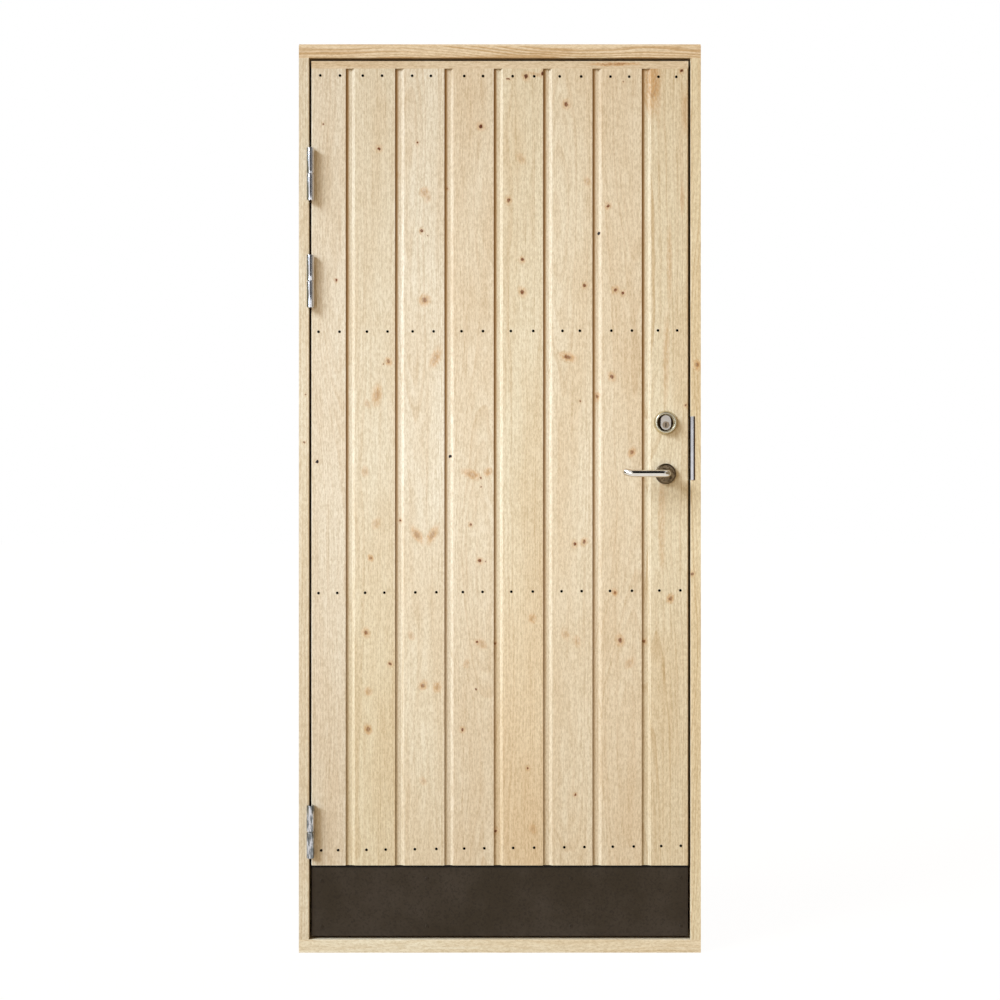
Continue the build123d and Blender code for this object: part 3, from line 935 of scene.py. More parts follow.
def mirrored_copy(piece, name, middle):
    """A copy for the other face of the leaf."""
    copy = copy_of(piece, name)
    begin_edit(copy)
    bpy.ops.mesh.select_all(action="SELECT")
    bpy.ops.transform.resize(value=(1, -1, 1), center_override=(0, middle, 0))
    bpy.ops.mesh.normals_make_consistent(inside=False)
    end_edit()
    return copy


def join(pieces, name):
    """Several pieces made one."""
    take_up(*pieces)
    bpy.ops.object.join()
    whole = bpy.context.object
    rename(whole, name)
    return whole


def combine(piece, tool, operation):
    """Adds a tool solid to a piece or cuts it out, then removes the tool."""
    take_up(piece)
    change = piece.modifiers.new("combine", "BOOLEAN")
    change.operation = operation
    change.solver = "EXACT"
    change.object = tool
    bpy.ops.object.modifier_apply(modifier=change.name)
    bpy.data.objects.remove(tool)


def set_down(piece, name, body, material, stands_for=()):
    """Names a finished piece, gives it its finish and lets it ride on its body."""
    rename(piece, name)
    piece.data.materials.clear()
    piece.data.materials.append(material)
    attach(piece, body)
    if stands_for:
        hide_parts(*stands_for)


def lock_line():
    """Where the spindle runs: across, up, and the two faces of the leaf."""
    low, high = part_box("lever_spindle")
    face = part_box("plank_8")[0].y
    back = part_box("lock_stile")[1].y
    return (low.x + high.x) / 2, (low.z + high.z) / 2, face, back


def both_faces(piece, node, body, material):
    """Sets a piece down on the front of the leaf, and its mirror image on the back."""
    face, back = lock_line()[2:]
    smooth(piece, 40)
    other = mirrored_copy(piece, f"back_{node}_made", (face + back) / 2)
    smooth(other, 40)
    for side, made in (("front", piece), ("back", other)):
        set_down(made, f"{side}_{node}_made", body, material, [f"{side}_{node}"])


class DOOR_OT_boards(bpy.types.Operator):
    """Bare wood with knots on the eight boards and the strip over them"""

    bl_idname = "door.boards"
    bl_label = "Boards"

    def execute(self, context):
        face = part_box("plank_1")[0].y
        joint_shade = None
        for number, knots in BOARD_KNOTS.items():
            low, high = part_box(f"plank_{number}")
            share = 0.5 + 0.45 * math.sin(2.1 * number)
            pith = (low.x + (high.x - low.x) * share, 0.02 + 0.012 * number)
            tint, contrast = BOARD_TONES[number]
            material = timber_material(
                f"board {number} wood",
                3.7 * number,
                "Z",
                pith,
                tint,
                contrast,
                knots,
                joint_shade=joint_shade,
                foot=BOARD_FEET.get(number),
            )
            dress(f"plank_{number}", material)
            joint_shade = (high.x, face)
        strip = timber_material(
            "top strip wood", 41.0, "X", (-1.97, 0.03), (0.98, 0.965, 0.94), 1.1, STRIP_KNOTS
        )
        dress("top_strip", strip)
        return {"FINISHED"}


# Seed, pith across and in depth, tint and contrast of each upright
UPRIGHTS = {
    "hinge_jamb": (51.0, (-0.47, 0.08), (0.985, 1.03, 1.07), 1.0),
    "lock_jamb": (57.0, (0.48, 0.09), (0.988, 0.985, 0.905), 1.2),
    "hinge_stile": (63.0, (-0.33, 0.06), (0.99, 0.97, 0.94), 0.9),
    "lock_stile": (69.0, (0.33, 0.06), (0.98, 0.96, 0.93), 0.9),
}
# Seed, pith over the middle and in depth, tint and contrast of each piece that lies across
CROSS_PIECES = {
    "frame_head": (75.0, (0.042, 0.045), (1.0, 0.95, 0.88), 3.5),
    "sill": (81.0, (0.015, 0.1), (1.08, 1.13, 1.155), 0.9),
    "top_rail": (87.0, (0.015, 0.07), (0.99, 0.97, 0.94), 0.9),
    "upper_rail": (93.0, (0.015, 0.06), (0.98, 0.955, 0.92), 0.9),
    "lower_rail": (99.0, (0.015, 0.08), (1.0, 0.98, 0.95), 0.9),
    "bottom_rail": (105.0, (0.015, 0.06), (0.985, 0.965, 0.93), 0.9),
    "kick_board": (111.0, (0.015, 0.06), (0.98, 0.96, 0.93), 0.9),
}


class DOOR_OT_framing(bpy.types.Operator):
    """Bare wood on the frame and on the stiles, rails and packing behind the boards"""

    bl_idname = "door.framing"
    bl_label = "Frame and framing"

    def execute(self, context):
        for number, (name, (seed, pith, tint, contrast)) in enumerate(UPRIGHTS.items()):
            low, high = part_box(name)
            middle = (low.x + high.x) / 2 / MM
            knots = JAMB_KNOTS.get(name) or [
                (middle - 18, 410 + 160 * number, "medium"),
                (middle + 21, 980 - 90 * number, "small"),
                (middle - 6, 1530 + 40 * number, "red"),
            ]
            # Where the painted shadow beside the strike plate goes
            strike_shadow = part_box("strike_plate") if name == "lock_jamb" else None
            material = timber_material(
                f"{name} wood", seed, "Z", pith, tint, contrast, knots, strike_shadow=strike_shadow
            )
            dress(name, material)
        for number, (name, (seed, pith, tint, contrast)) in enumerate(CROSS_PIECES.items()):
            low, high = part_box(name)
            middle = (low.z + high.z) / 2
            knots = []
            if name.endswith("rail"):
                knots = [
                    (-210 + 60 * number, middle / MM + 14, "medium"),
                    (130 + 25 * number, middle / MM - 20, "small"),
                ]
            pith = (middle + pith[0], pith[1])
            dress(name, timber_material(f"{name} wood", seed, "X", pith, tint, contrast, knots))
        return {"FINISHED"}


# Nails: the height of each row at its ends and each nail's place across, in millimetres
NAIL_ROWS = [
    (
        (1920, 1917),
        (-393, -350, -300, -258, -192, -151, -78, -37, 28, 75, 131, 178, 242, 283, 347, 386),
    ),
    (
        (1359, 1362),
        (-397, -351, -291, -246, -191, -145, -84, -37, 24, 73, 137, 175, 244, 289, 346, 388),
    ),
    (
        (787, 793),
        (-397, -356, -295, -253, -185, -139, -81, -38, 25, 72, 135, 179, 241, 289, 349, 395),
    ),
    (
        (224, 234),
        (-391, -354, -292, -250, -186, -139, -78, -34, 29, 75, 141, 185, 247, 293, 353, 396),
    ),
]
NAIL_SHANK = 3 * MM
NAIL_CROWN = 0.12 * MM
NAIL_RIM = 0.3
NAIL_EDGE = 0.2 * MM


def ease_circle(piece, across, up, level, radius, amount, segments):
    """Rounds one circle of edges on a piece that faces along Y."""

    def on_circle(end):
        """True for a point of the circle."""
        reach = math.hypot(end.x - across, end.z - up)
        return abs(end.y - level) < NEAR and abs(reach - radius) < NEAR_CIRCLE

    begin_edit(piece)
    pick_edges(lambda start, end: on_circle(start) and on_circle(end))
    ease(amount, segments)
    end_edit()


def round_bar(radius, vertices, front, back):
    """A short round bar along Y on the line x = z = 0."""
    clear_selection()
    bpy.ops.mesh.primitive_cylinder_add(
        vertices=vertices,
        radius=radius,
        depth=back - front,
        location=(0, (front + back) / 2, 0),
        rotation=ALONG_Y,
    )
    settle()
    return bpy.context.object


class DOOR_OT_nails(bpy.types.Operator):
    """Four rows of nails through the boards"""

    bl_idname = "door.nails"
    bl_label = "Nails"

    def execute(self, context):
        sizes = choices("fittings")
        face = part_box("plank_1")[0].y
        radius = sizes.nail_head / 2
        front = face - sizes.nail_proud
        nail = round_bar(radius, NAIL_SIDES, front, face + NAIL_SHANK)
        begin_edit(nail)
        pick_faces(lambda middle, normal: normal.y < -0.9)
        bpy.ops.mesh.inset(thickness=radius * NAIL_RIM)
        push(0, -NAIL_CROWN, 0)
        end_edit()
        ease_circle(nail, 0, 0, front, radius, NAIL_EDGE, 2)
        metal = metal_material("nail steel", choices("metal").nail)
        for row, ((left, right), places) in enumerate(NAIL_ROWS, 1):
            first, last = places[0], places[-1]
            copies = []
            for number, across in enumerate(places, 1):
                up = left + (right - left) * (across - first) / (last - first)
                copies.append(copy_of(nail, f"nail_{row}_{number}", (across * MM, 0, up * MM)))
            whole = join(copies, f"nails_row_{row}")
            smooth(whole)
            set_down(whole, f"nails_row_{row}", "leaf", metal)
        bpy.data.objects.remove(nail)
        return {"FINISHED"}


SCREW_SEAT = 1.2 * MM
SLOT_DEPTH = 1.6 * MM
# Width and length of the slots as shares of the head
SLOT_WIDTH, SLOT_LENGTH = 0.14, 0.62
# Which way a screw head faces, and how it is turned for that
FACING = {"front": ORIGIN, "left": (0, 0, -SQUARE), "right": (0, 0, SQUARE)}


def model_screw(name, head, proud, domed):
    """A cross-slotted screw head facing -Y with its seat at the origin."""
    screw = round_bar(head / 2, SCREW_SIDES, -proud, SCREW_SEAT)
    share, segments = (0.8, 4) if domed else (0.4, 2)
    ease_circle(screw, 0, 0, -proud, head / 2, proud * share, segments)
    for turn in (0, SQUARE):
        bpy.ops.mesh.primitive_cube_add(size=1, location=(0, -proud, 0))
        slot = bpy.context.object
        slot.scale = (head * SLOT_WIDTH, SLOT_DEPTH, head * SLOT_LENGTH)
        slot.rotation_euler = (0, turn, 0)
        settle()
        combine(screw, slot, "DIFFERENCE")
    close_up(screw)
    smooth(screw)
    screw.name = name
    return screw


def drive_screws(screw, name, places, facing, turns, body, material):
    """Copies of a screw at the given places, made one piece and set down."""
    copies = []
    for number, place in enumerate(places, 1):
        copy = copy_of(screw, f"{name}_{number}")
        copy.rotation_euler = (0, math.radians(turns * number), 0)
        settle()
        copy.rotation_euler = FACING[facing]
        copy.location = Vector(place)
        settle()
        copies.append(copy)
    whole = join(copies, name)
    smooth(whole)
    set_down(whole, name, body, material)


# Screws of the kick plate: across and up in millimetres
KICK_SCREWS = [
    (-391, 156), (-160, 161), (156, 161), (397, 162),
    (-391, 56), (-160, 56), (156, 57), (397, 57),
]


class DOOR_OT_kick_plate(bpy.types.Operator):
    """Brown coating on the kick plate, and its screws"""

    bl_idname = "door.kick_plate"
    bl_label = "Kick plate"

    def execute(self, context):
        sizes = choices("fittings")
        board_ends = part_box("plank_1")[0].z
        coat = coated_material("brown coating", choices("metal").sheet, board_ends)
        dress("kick_plate", coat)
        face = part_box("kick_plate")[0].y
        screw = model_screw("kick_screw", sizes.screw_head, sizes.screw_proud, True)
        places = [(across * MM, face, up * MM) for across, up in KICK_SCREWS]
        drive_screws(screw, "kick_plate_screws", places, "front", 31, "leaf", coat)
        bpy.data.objects.remove(screw)
        return {"FINISHED"}


HINGE_EDGE = 0.8 * MM
GROOVE_HALF = 0.7 * MM
GROOVE_MARGIN = 0.2 * MM
# How far up the upper barrel its groove runs, and how much thinner the barrel is there
GROOVE_RISE, GROOVE_SHRINK = 0.29, 0.95
# Screws of a hinge half: in depth from the middle of its plate, and away from the other half
HINGE_SCREWS = [(-8 * MM, 11 * MM), (6 * MM, 28 * MM), (-8 * MM, 45 * MM)]
HINGE_SCREW_SHIFT = 4 * MM
FRAME_SCREW_DROP = 2.5 * MM


def knuckle(axis, radius, low, high):
    """A plain round barrel on the hinge line."""
    clear_selection()
    bpy.ops.mesh.primitive_cylinder_add(
        vertices=BARREL_SIDES,
        radius=radius,
        depth=high - low,
        location=(axis.x, axis.y, (low + high) / 2),
    )
    settle()
    return bpy.context.object


def ease_rims(piece, axis, radius, *levels):
    """Rounds the outer rims of a barrel at the given levels."""

    def on_rim(end, level):
        """True for a point of the outer rim at one level."""
        reach = math.hypot(end.x - axis.x, end.y - axis.y)
        return abs(end.z - level) < NEAR and reach > radius * 0.98

    begin_edit(piece)
    pick_edges(
        lambda start, end: any(on_rim(start, level) and on_rim(end, level) for level in levels)
    )
    ease(HINGE_EDGE, 3)
    end_edit()


def turn_groove(piece, axis, radius, level):
    """A shallow groove round a barrel."""
    begin_edit(piece)
    for step in (-GROOVE_HALF, GROOVE_HALF):
        bpy.ops.mesh.select_all(action="SELECT")
        bpy.ops.mesh.bisect(plane_co=(0, 0, level + step), plane_no=(0, 0, 1))
    pick_faces(
        lambda middle, normal: abs(middle.z - level) < GROOVE_HALF
        and abs(normal.z) < 0.1
        and math.hypot(middle.x - axis.x, middle.y - axis.y) > radius * 0.95
    )
    bpy.ops.mesh.inset(thickness=GROOVE_MARGIN)
    bpy.ops.transform.resize(
        value=(GROOVE_SHRINK, GROOVE_SHRINK, 1), center_override=(axis.x, axis.y, level)
    )
    end_edit()


def hinge_wing(low, high):
    """The let-in plate of a hinge half with its corners eased."""
    clear_selection()
    middle = [(first + last) / 2 for first, last in zip(low, high)]
    bpy.ops.mesh.primitive_cube_add(size=1, location=middle)
    wing = bpy.context.object
    wing.scale = high - low
    settle()
    begin_edit(wing)
    pick_edges(
        lambda start, end: abs(start.y - high.y) < NEAR
        and abs(end.y - high.y) < NEAR
        and abs(start.x - end.x) > NEAR
    )
    ease(WING_CORNER, 5)
    end_edit()
    return wing


class DOOR_OT_hinges(bpy.types.Operator):
    """Three lift-off hinges: bored knuckle over a knuckle with its pin, and let-in plates"""

    bl_idname = "door.hinges"
    bl_label = "Hinges"

    def execute(self, context):
        sizes = choices("fittings")
        metal = plated()
        axis = Vector(frame["joints"][0]["pos_m"])
        low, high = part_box("hinge_upper_leaf_half")
        radius = abs(low.y - axis.y)
        wing_start = axis.y + BORE_RADIUS
        leaf_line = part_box("plank_1")[0].x
        jamb_line = leaf_line - LEAF_GAP

        leaf_half = knuckle(axis, radius, low.z, high.z)
        begin_edit(leaf_half)
        pick_faces(lambda middle, normal: normal.z < -0.9)
        bpy.ops.mesh.inset(thickness=radius - BORE_RADIUS)
        push(0, 0, BORE_DEPTH)
        end_edit()
        ease_rims(leaf_half, axis, radius, low.z, high.z)
        turn_groove(leaf_half, axis, radius, low.z + GROOVE_RISE * (high.z - low.z))
        wing_low = Vector((leaf_line, wing_start, low.z))
        wing_high = Vector((leaf_line + WING_THICKNESS, high.y, high.z))
        combine(leaf_half, hinge_wing(wing_low, wing_high), "UNION")

        pin_low, pin_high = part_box("hinge_upper_frame_half")
        seat = low.z - BEARING_HEIGHT - KNUCKLE_PLAY
        frame_half = knuckle(axis, radius, pin_low.z, seat)
        begin_edit(frame_half)
        pick_faces(lambda middle, normal: normal.z > 0.9)
        bpy.ops.mesh.inset(thickness=radius - BEARING_RADIUS)
        push(0, 0, BEARING_HEIGHT)
        bpy.ops.mesh.inset(thickness=BEARING_RADIUS - PIN_RADIUS)
        push(0, 0, pin_high.z - seat - BEARING_HEIGHT)
        end_edit()
        ease_rims(frame_half, axis, radius, pin_low.z, seat)
        wing_low = Vector((jamb_line - WING_THICKNESS, wing_start, pin_low.z))
        wing_high = Vector((jamb_line, pin_high.y, seat))
        combine(frame_half, hinge_wing(wing_low, wing_high), "UNION")

        for half in (leaf_half, frame_half):
            close_up(half)
            smooth(half, 30)
        screw = model_screw("hinge_screw", sizes.screw_head, sizes.flush_proud, False)
        middle = (wing_start + high.y) / 2 + HINGE_SCREW_SHIFT
        for place in ("upper", "middle", "lower"):
            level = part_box(f"hinge_{place}_leaf_half")[0].z
            for body, model in (("leaf", leaf_half), ("frame", frame_half)):
                node = f"hinge_{place}_{body}_half"
                copy = copy_of(model, f"{node}_made", (0, 0, level - low.z))
                set_down(copy, f"{node}_made", body, metal, [node])
            for body, line, facing, turns, side, drop in (
                ("leaf", leaf_line, "left", 37, 1, 0),
                ("frame", jamb_line, "right", 53, -1, FRAME_SCREW_DROP),
            ):
                places = [
                    (line, middle + depth, level + side * (rise + drop))
                    for depth, rise in HINGE_SCREWS
                ]
                name = f"hinge_{place}_{body}_screws"
                drive_screws(screw, name, places, facing, turns, body, metal)
        for model in (leaf_half, frame_half, screw):
            bpy.data.objects.remove(model)
        return {"FINISHED"}


class DOOR_OT_levers(bpy.types.Operator):
    """Bent round bar levers on both faces, and the spindle between them"""

    bl_idname = "door.levers"
    bl_label = "Levers"

    def execute(self, context):
        sizes = choices("fittings")
        across, up = lock_line()[:2]
        low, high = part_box("front_lever")
        elbow = sizes.elbow_radius
        grip_line = low.y + GRIP_RADIUS
        neck_end = grip_line + elbow
        clear_selection()
        bpy.ops.mesh.primitive_circle_add(
            vertices=BARREL_SIDES,
            radius=GRIP_RADIUS,
            fill_type="NOTHING",
            location=(across, high.y, up),
            rotation=ALONG_Y,
        )
        lever = bpy.context.object
        settle()
        begin_edit(lever)
        bpy.ops.mesh.select_mode(type="EDGE")
        bpy.ops.mesh.select_all(action="SELECT")
        push(0, neck_end - high.y, 0)
        bpy.ops.mesh.spin(
            steps=14, angle=SQUARE, center=(across - elbow, neck_end, up), axis=(0, 0, 1)
        )
        push(-sizes.grip_straight, 0, 0)
        along = Vector((-1, 0, 0))
        inward = Vector((0, math.cos(sizes.tip_lift), math.sin(sizes.tip_lift)))
        grip_end = Vector((across - elbow - sizes.grip_straight, grip_line, up))
        bpy.ops.mesh.spin(
            steps=8,
            angle=-sizes.tip_bend,
            center=grip_end + inward * sizes.tip_radius,
            axis=along.cross(inward),
        )
        run = along * math.cos(sizes.tip_bend) + inward * math.sin(sizes.tip_bend)
        push(*(run * sizes.tip_length))
        bpy.ops.mesh.edge_face_add()
        ease(TIP_EDGE, 5)
        bpy.ops.mesh.select_all(action="SELECT")
        bpy.ops.mesh.fill_holes(sides=0)
        end_edit()
        close_up(lever)
        metal = metal_material("polished handle", choices("metal").handle)
        both_faces(lever, "lever", "lever", metal)
        dress("lever_spindle", plated())
        return {"FINISHED"}


def pierced_disc(across, up, face, front, wide, narrow, opening):
    """A round plate on the front face, with a hole right through it."""
    clear_selection()
    bpy.ops.mesh.primitive_cone_add(
        vertices=PLATE_SIDES,
        radius1=wide,
        radius2=narrow,
        depth=face - front,
        location=(across, (face + front) / 2, up),
        rotation=ALONG_Y,
    )
    piece = bpy.context.object
    settle()
    begin_edit(piece)
    for side, outer in ((1, wide), (-1, narrow)):
        pick_faces(lambda middle, normal: normal.y * side > 0.95)
        bpy.ops.mesh.inset(thickness=outer - opening)
        bpy.ops.mesh.delete(type="FACE")
    pick_edges(
        lambda start, end: math.hypot(start.x - across, start.z - up) < opening * 1.02
        and math.hypot(end.x - across, end.z - up) < opening * 1.02
    )
    bpy.ops.mesh.bridge_edge_loops()
    end_edit()
    close_up(piece)
    return piece


# Where the painted dark reflection at the rim of a rose starts and is full, in from its edge
ROSE_REFLECTION_RIM = (6 * MM, 1 * MM)


class DOOR_OT_roses(bpy.types.Operator):
    """Round roses with an eased rim on both faces"""

    bl_idname = "door.roses"
    bl_label = "Roses"

    def execute(self, context):
        across, up, face = lock_line()[:3]
        low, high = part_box("front_rose")
        radius = (high.x - low.x) / 2
        rose = pierced_disc(across, up, face, low.y, radius, radius, ROSE_OPENING)
        ease_circle(rose, across, up, low.y, radius, ROSE_EDGE, 6)
        ease_circle(rose, across, up, low.y, ROSE_OPENING, ROSE_HOLE_EDGE, 2)

        def rim_painted_reflection(tree, place):
            """Painted dark reflection towards the rim, and in clouds."""
            offset = vector_calc(tree, "SUBTRACT", place, (across, 0, up))
            offset = vector_calc(tree, "MULTIPLY", offset, (1, 0, 1))
            reach = vector_calc(tree, "LENGTH", offset, out=1)
            rim = ramp(tree, reach, radius - ROSE_REFLECTION_RIM[0], radius - ROSE_REFLECTION_RIM[1], 0, 0.8)
            clouds = ramp(tree, noise(tree, place, 150, 2, 0.55), 0.46, 0.62, 0, 0.75)
            return calc(tree, "MAXIMUM", rim, clouds)

        look = choices("metal")
        metal = metal_material("rose metal", look.rose, rim_painted_reflection, look.painted_dark_cast)
        both_faces(rose, "rose", "leaf", metal)
        return {"FINISHED"}


# Where the painted shade of the keyway starts and is full, behind the face of the plug
KEYWAY_SHADE_DEPTHS = (0.8 * MM, 2 * MM)


class DOOR_OT_cylinders(bpy.types.Operator):
    """Conical rings round the lock cylinders, and the finish of cylinders and plugs"""

    bl_idname = "door.cylinders"
    bl_label = "Lock cylinders"

    def execute(self, context):
        across, _, face, back = lock_line()
        low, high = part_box("front_cylinder_ring")
        up = (low.z + high.z) / 2
        wide = (high.x - low.x) / 2
        ring = pierced_disc(
            across, up, face, low.y, wide, RING_FRONT_RADIUS, RING_OPENING_RADIUS
        )
        ease_circle(ring, across, up, low.y, RING_FRONT_RADIUS, RING_FRONT_EDGE, 4)
        ease_circle(ring, across, up, low.y, RING_OPENING_RADIUS, RING_EDGE, 3)
        ease_circle(ring, across, up, face, wide, RING_EDGE, 3)
        look = choices("metal")
        metal = metal_material("brassy nickel", look.nickel)
        both_faces(ring, "cylinder_ring", "leaf", metal)
        middle = (face + back) / 2
        plug_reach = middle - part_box("front_plug")[0].y

        def keyway_shade(tree, place):
            """Painted shade behind the face of the plug, darkening the keyway."""
            reach = distance(tree, axes(tree, place)[1], middle)
            start, full = (plug_reach - depth for depth in KEYWAY_SHADE_DEPTHS)
            return ramp(tree, reach, start, full, 0, 0.95)

        body = metal_material("cylinder nickel", look.cylinder)
        plug = metal_material("plug brass", look.plug, keyway_shade, look.painted_dark_cast)
        for side in ("front", "back"):
            dress(f"{side}_cylinder", body)
            dress(f"{side}_plug", plug)
        return {"FINISHED"}


# Screws from the ends of the faceplate, and from the lower and upper end of the strike plate
FACEPLATE_SCREW_INSET = 9 * MM
STRIKE_SCREW_INSETS = (10 * MM, 8 * MM)


class DOOR_OT_lock_edge(bpy.types.Operator):
    """Faceplate, bolts and strike plate with their screws"""

    bl_idname = "door.lock_edge"
    bl_label = "Lock edge and strike"

    def execute(self, context):
        sizes = choices("fittings")
        metal = plated()
        bolt = metal_material("ground bolts", choices("metal").bolt)
        dress("lock_faceplate", metal)
        dress("strike_plate", metal)
        dress("latch_bolt", bolt)
        dress("dead_bolt", bolt)
        screw = model_screw("lock_screw", sizes.screw_head, sizes.flush_proud, False)
        low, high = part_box("lock_faceplate")
        middle = (low.y + high.y) / 2
        levels = (low.z + FACEPLATE_SCREW_INSET, high.z - FACEPLATE_SCREW_INSET)
        places = [(high.x, middle, level) for level in levels]
        drive_screws(screw, "faceplate_screws", places, "right", 41, "leaf", metal)
        low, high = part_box("strike_plate")
        levels = (low.z + STRIKE_SCREW_INSETS[0], high.z - STRIKE_SCREW_INSETS[1])
        places = [(low.x, middle, level) for level in levels]
        drive_screws(screw, "strike_screws", places, "left", 67, "frame", metal)
        bpy.data.objects.remove(screw)
        return {"FINISHED"}


# Cards that only show as reflections in the metal: colour, place, size and turn
DARK = shade(24, 24, 26)
CARDS = {
    "dark_card": (DARK, (2.5, -6, 4.8), (6.6, 6.4), ALONG_Y),
    "roof_card": (DARK, (2.5, -3.3, 8), (6.6, 5.4), ORIGIN),
    "warm_card": (shade(150, 136, 112), (3, 0.8, 1.8), (3.6, 6), (0, SQUARE, 0)),
    "grey_card": (shade(190, 204, 200), (-3, 1.15, 1.8), (3.6, 7.3), (0, SQUARE, 0)),
}
FLOOR_SIZE = 60
FLOOR_GLOW = 1.06
# How much of the white shows where the floor is seen, so that a shadow stays on it
FLOOR_WHITE = 0.92
KEY_PLACE, KEY_TRAVEL = (-3, -3, 4), (1.5, 1.0, -1.05)
SIDE_PLACE, SIDE_TRAVEL = (-1.6, -3.0, 1.15), (1.45, 2.95, -0.02)
SIDE_RADIUS = 0.5
SIDE_SPREAD = 30
CAMERA_ACROSS = 0.3 * MM
SENSOR_WIDTH = 36
CLIP_END = 200


def seen_directly(tree):
    """One where the camera, a reflection or clear glass looks, nothing for other light."""
    path = tree.nodes.new("ShaderNodeLightPath")
    seen = calc(tree, "MAXIMUM", path.outputs["Is Camera Ray"], path.outputs["Is Glossy Ray"])
    return calc(tree, "MAXIMUM", seen, path.outputs["Is Transmission Ray"])


def choose_shader(tree, amount, first, second, end):
    """Mixes two shaders into an output."""
    choose = tree.nodes.new("ShaderNodeMixShader")
    feed(tree, choose.inputs[0], amount)
    tree.links.new(first.outputs[0], choose.inputs[1])
    tree.links.new(second.outputs[0], choose.inputs[2])
    tree.links.new(choose.outputs[0], tree.nodes[end].inputs[0])


def matt(shader, colour, roughness):
    """A plain matt colour on a shader."""
    shader.inputs["Base Color"].default_value = (*colour, 1)
    shader.inputs["Roughness"].default_value = roughness
    shader.inputs["Specular IOR Level"].default_value = 0


def make_world(look):
    """White wherever it is seen, with a weaker warm light on the door."""
    world = bpy.data.worlds.new("white room")
    world.use_nodes = True
    bpy.context.scene.world = world
    tree = world.node_tree
    room = tree.nodes["Background"]
    room.inputs["Color"].default_value = (*look.fill_colour, 1)
    room.inputs["Strength"].default_value = look.fill
    white = tree.nodes.new("ShaderNodeBackground")
    white.inputs["Color"].default_value = WHITE
    white.inputs["Strength"].default_value = 1
    choose_shader(tree, seen_directly(tree), room, white, "World Output")


def make_floor(look):
    """A wide pale floor that shows as white with a faint shadow."""
    clear_selection()
    bpy.ops.mesh.primitive_plane_add(size=FLOOR_SIZE, location=ORIGIN)
    floor = bpy.context.object
    floor.name = "floor"
    material, tree, shader, _ = start_material("white floor")
    matt(shader, look.paper, 0.9)
    glow = tree.nodes.new("ShaderNodeEmission")
    glow.inputs["Color"].default_value = WHITE
    glow.inputs["Strength"].default_value = FLOOR_GLOW
    shown = times(tree, seen_directly(tree), FLOOR_WHITE)
    choose_shader(tree, shown, shader, glow, "Material Output")
    floor.data.materials.append(material)


def make_card(name, colour, spot, size, turn):
    """A card that only the reflections see."""
    clear_selection()
    bpy.ops.mesh.primitive_plane_add(size=1, location=spot, rotation=turn)
    card = bpy.context.object
    card.scale = (*size, 1)
    settle()
    card.name = name
    material, _, shader, _ = start_material(name.replace("_", " "))
    matt(shader, colour, 1)
    card.data.materials.append(material)
    card.visible_camera = False
    card.visible_diffuse = False
    card.visible_shadow = False
    card.visible_transmission = False


def add_light(kind, name, spot, travel, energy, colour):
    """A light at a spot, shining the given way."""
    bpy.ops.object.light_add(type=kind, location=spot)
    light = bpy.context.object
    light.name = name
    light.data.energy = energy
    light.data.color = colour
    light.rotation_euler = Vector(travel).to_track_quat("-Z", "Y").to_euler()
    return light.data


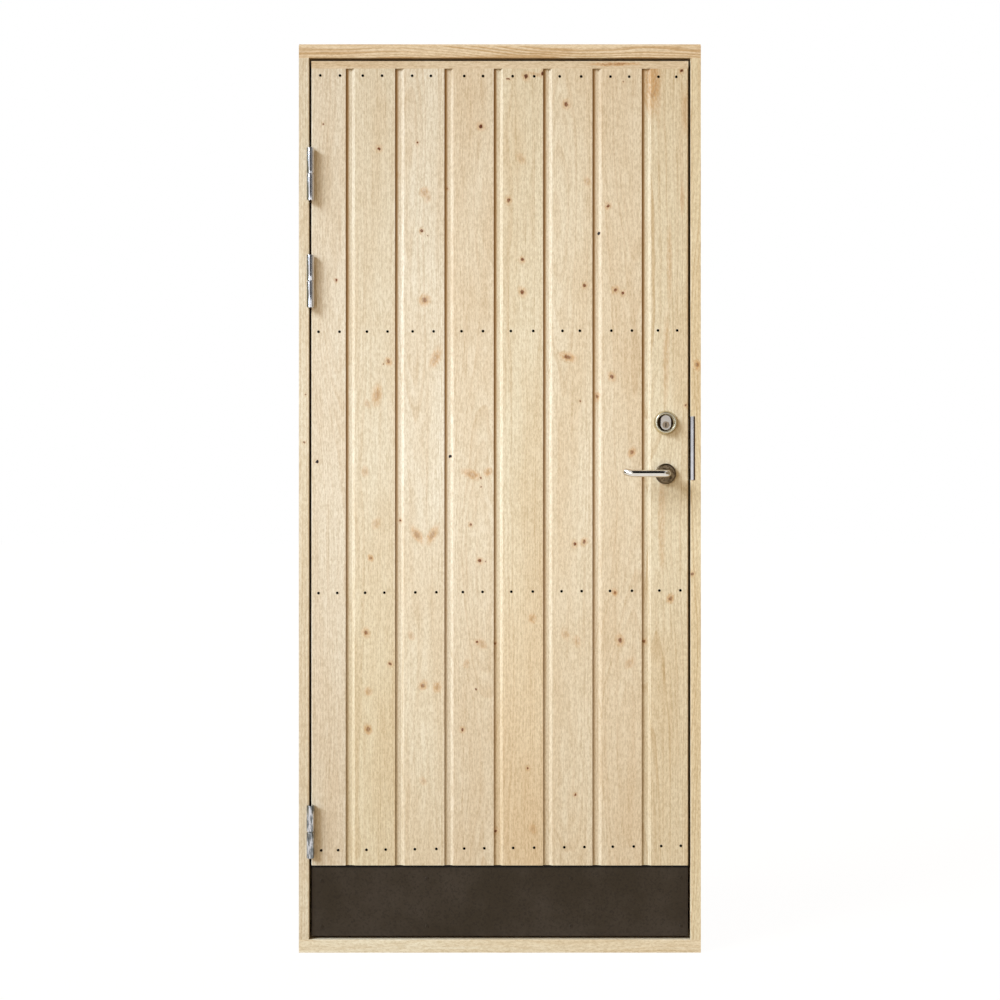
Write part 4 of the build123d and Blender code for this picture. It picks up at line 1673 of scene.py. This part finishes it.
class DOOR_OT_stage(bpy.types.Operator):
    """Pale floor, soft light from the upper left and a camera square to the door"""

    bl_idname = "door.stage"
    bl_label = "Stage"

    def execute(self, context):
        look = choices("stage")
        scene = bpy.context.scene
        scene.view_settings.view_transform = "Standard"
        make_world(look)
        make_floor(look)
        for name, card in CARDS.items():
            make_card(name, *card)
        clear_selection()
        key = add_light("SUN", "key_light", KEY_PLACE, KEY_TRAVEL, look.key, look.key_colour)
        key.angle = look.softness
        side = add_light("SPOT", "side_light", SIDE_PLACE, SIDE_TRAVEL, look.side, look.key_colour)
        side.shadow_soft_size = SIDE_RADIUS
        side.spot_size = math.radians(SIDE_SPREAD)
        side.spot_blend = 1
        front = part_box("frame_head")[0].y
        bpy.ops.object.camera_add(
            location=(CAMERA_ACROSS, front - look.camera_distance, look.camera_height),
            rotation=ALONG_Y,
        )
        camera = bpy.context.object
        camera.data.sensor_width = SENSOR_WIDTH
        camera.data.lens = look.lens
        camera.data.clip_end = CLIP_END
        scene.camera = camera
        return {"FINISHED"}


class DOOR_PT_sidebar(bpy.types.Panel):
    """The steps of dressing the door, with their settings"""

    bl_idname = "DOOR_PT_sidebar"
    bl_label = "Shed door"
    bl_space_type = "VIEW_3D"
    bl_region_type = "UI"
    bl_category = "Shed door"

    def draw(self, context):
        layout = self.layout
        for step in STEPS:
            layout.operator(step.bl_idname)
        for name, group in CHOICES.items():
            box = layout.box()
            box.label(text=name.capitalize())
            for choice in group.__annotations__:
                box.prop(getattr(context.scene, "door_" + name), choice)


CHOICES = {
    "timber": TimberChoices,
    "metal": MetalChoices,
    "fittings": FittingChoices,
    "stage": StageChoices,
}
STEPS = (
    DOOR_OT_boards,
    DOOR_OT_framing,
    DOOR_OT_nails,
    DOOR_OT_kick_plate,
    DOOR_OT_hinges,
    DOOR_OT_levers,
    DOOR_OT_roses,
    DOOR_OT_cylinders,
    DOOR_OT_lock_edge,
    DOOR_OT_stage,
)


def register():
    """Adds the settings, the steps and the sidebar."""
    for name, group in CHOICES.items():
        bpy.utils.register_class(group)
        setattr(bpy.types.Scene, "door_" + name, bpy.props.PointerProperty(type=group))
    for step in (*STEPS, DOOR_PT_sidebar):
        bpy.utils.register_class(step)


def unregister():
    """Takes them away again."""
    for step in reversed((*STEPS, DOOR_PT_sidebar)):
        bpy.utils.unregister_class(step)
    for name, group in reversed(CHOICES.items()):
        delattr(bpy.types.Scene, "door_" + name)
        bpy.utils.unregister_class(group)


def main():
    """Dresses the door."""
    register()
    bpy.ops.door.boards()
    bpy.ops.door.framing()
    bpy.ops.door.nails()
    bpy.ops.door.kick_plate()
    bpy.ops.door.hinges()
    bpy.ops.door.levers()
    bpy.ops.door.roses()
    bpy.ops.door.cylinders()
    bpy.ops.door.lock_edge()
    bpy.ops.door.stage()
    clear_selection()


if __name__ == "__main__":
    main()
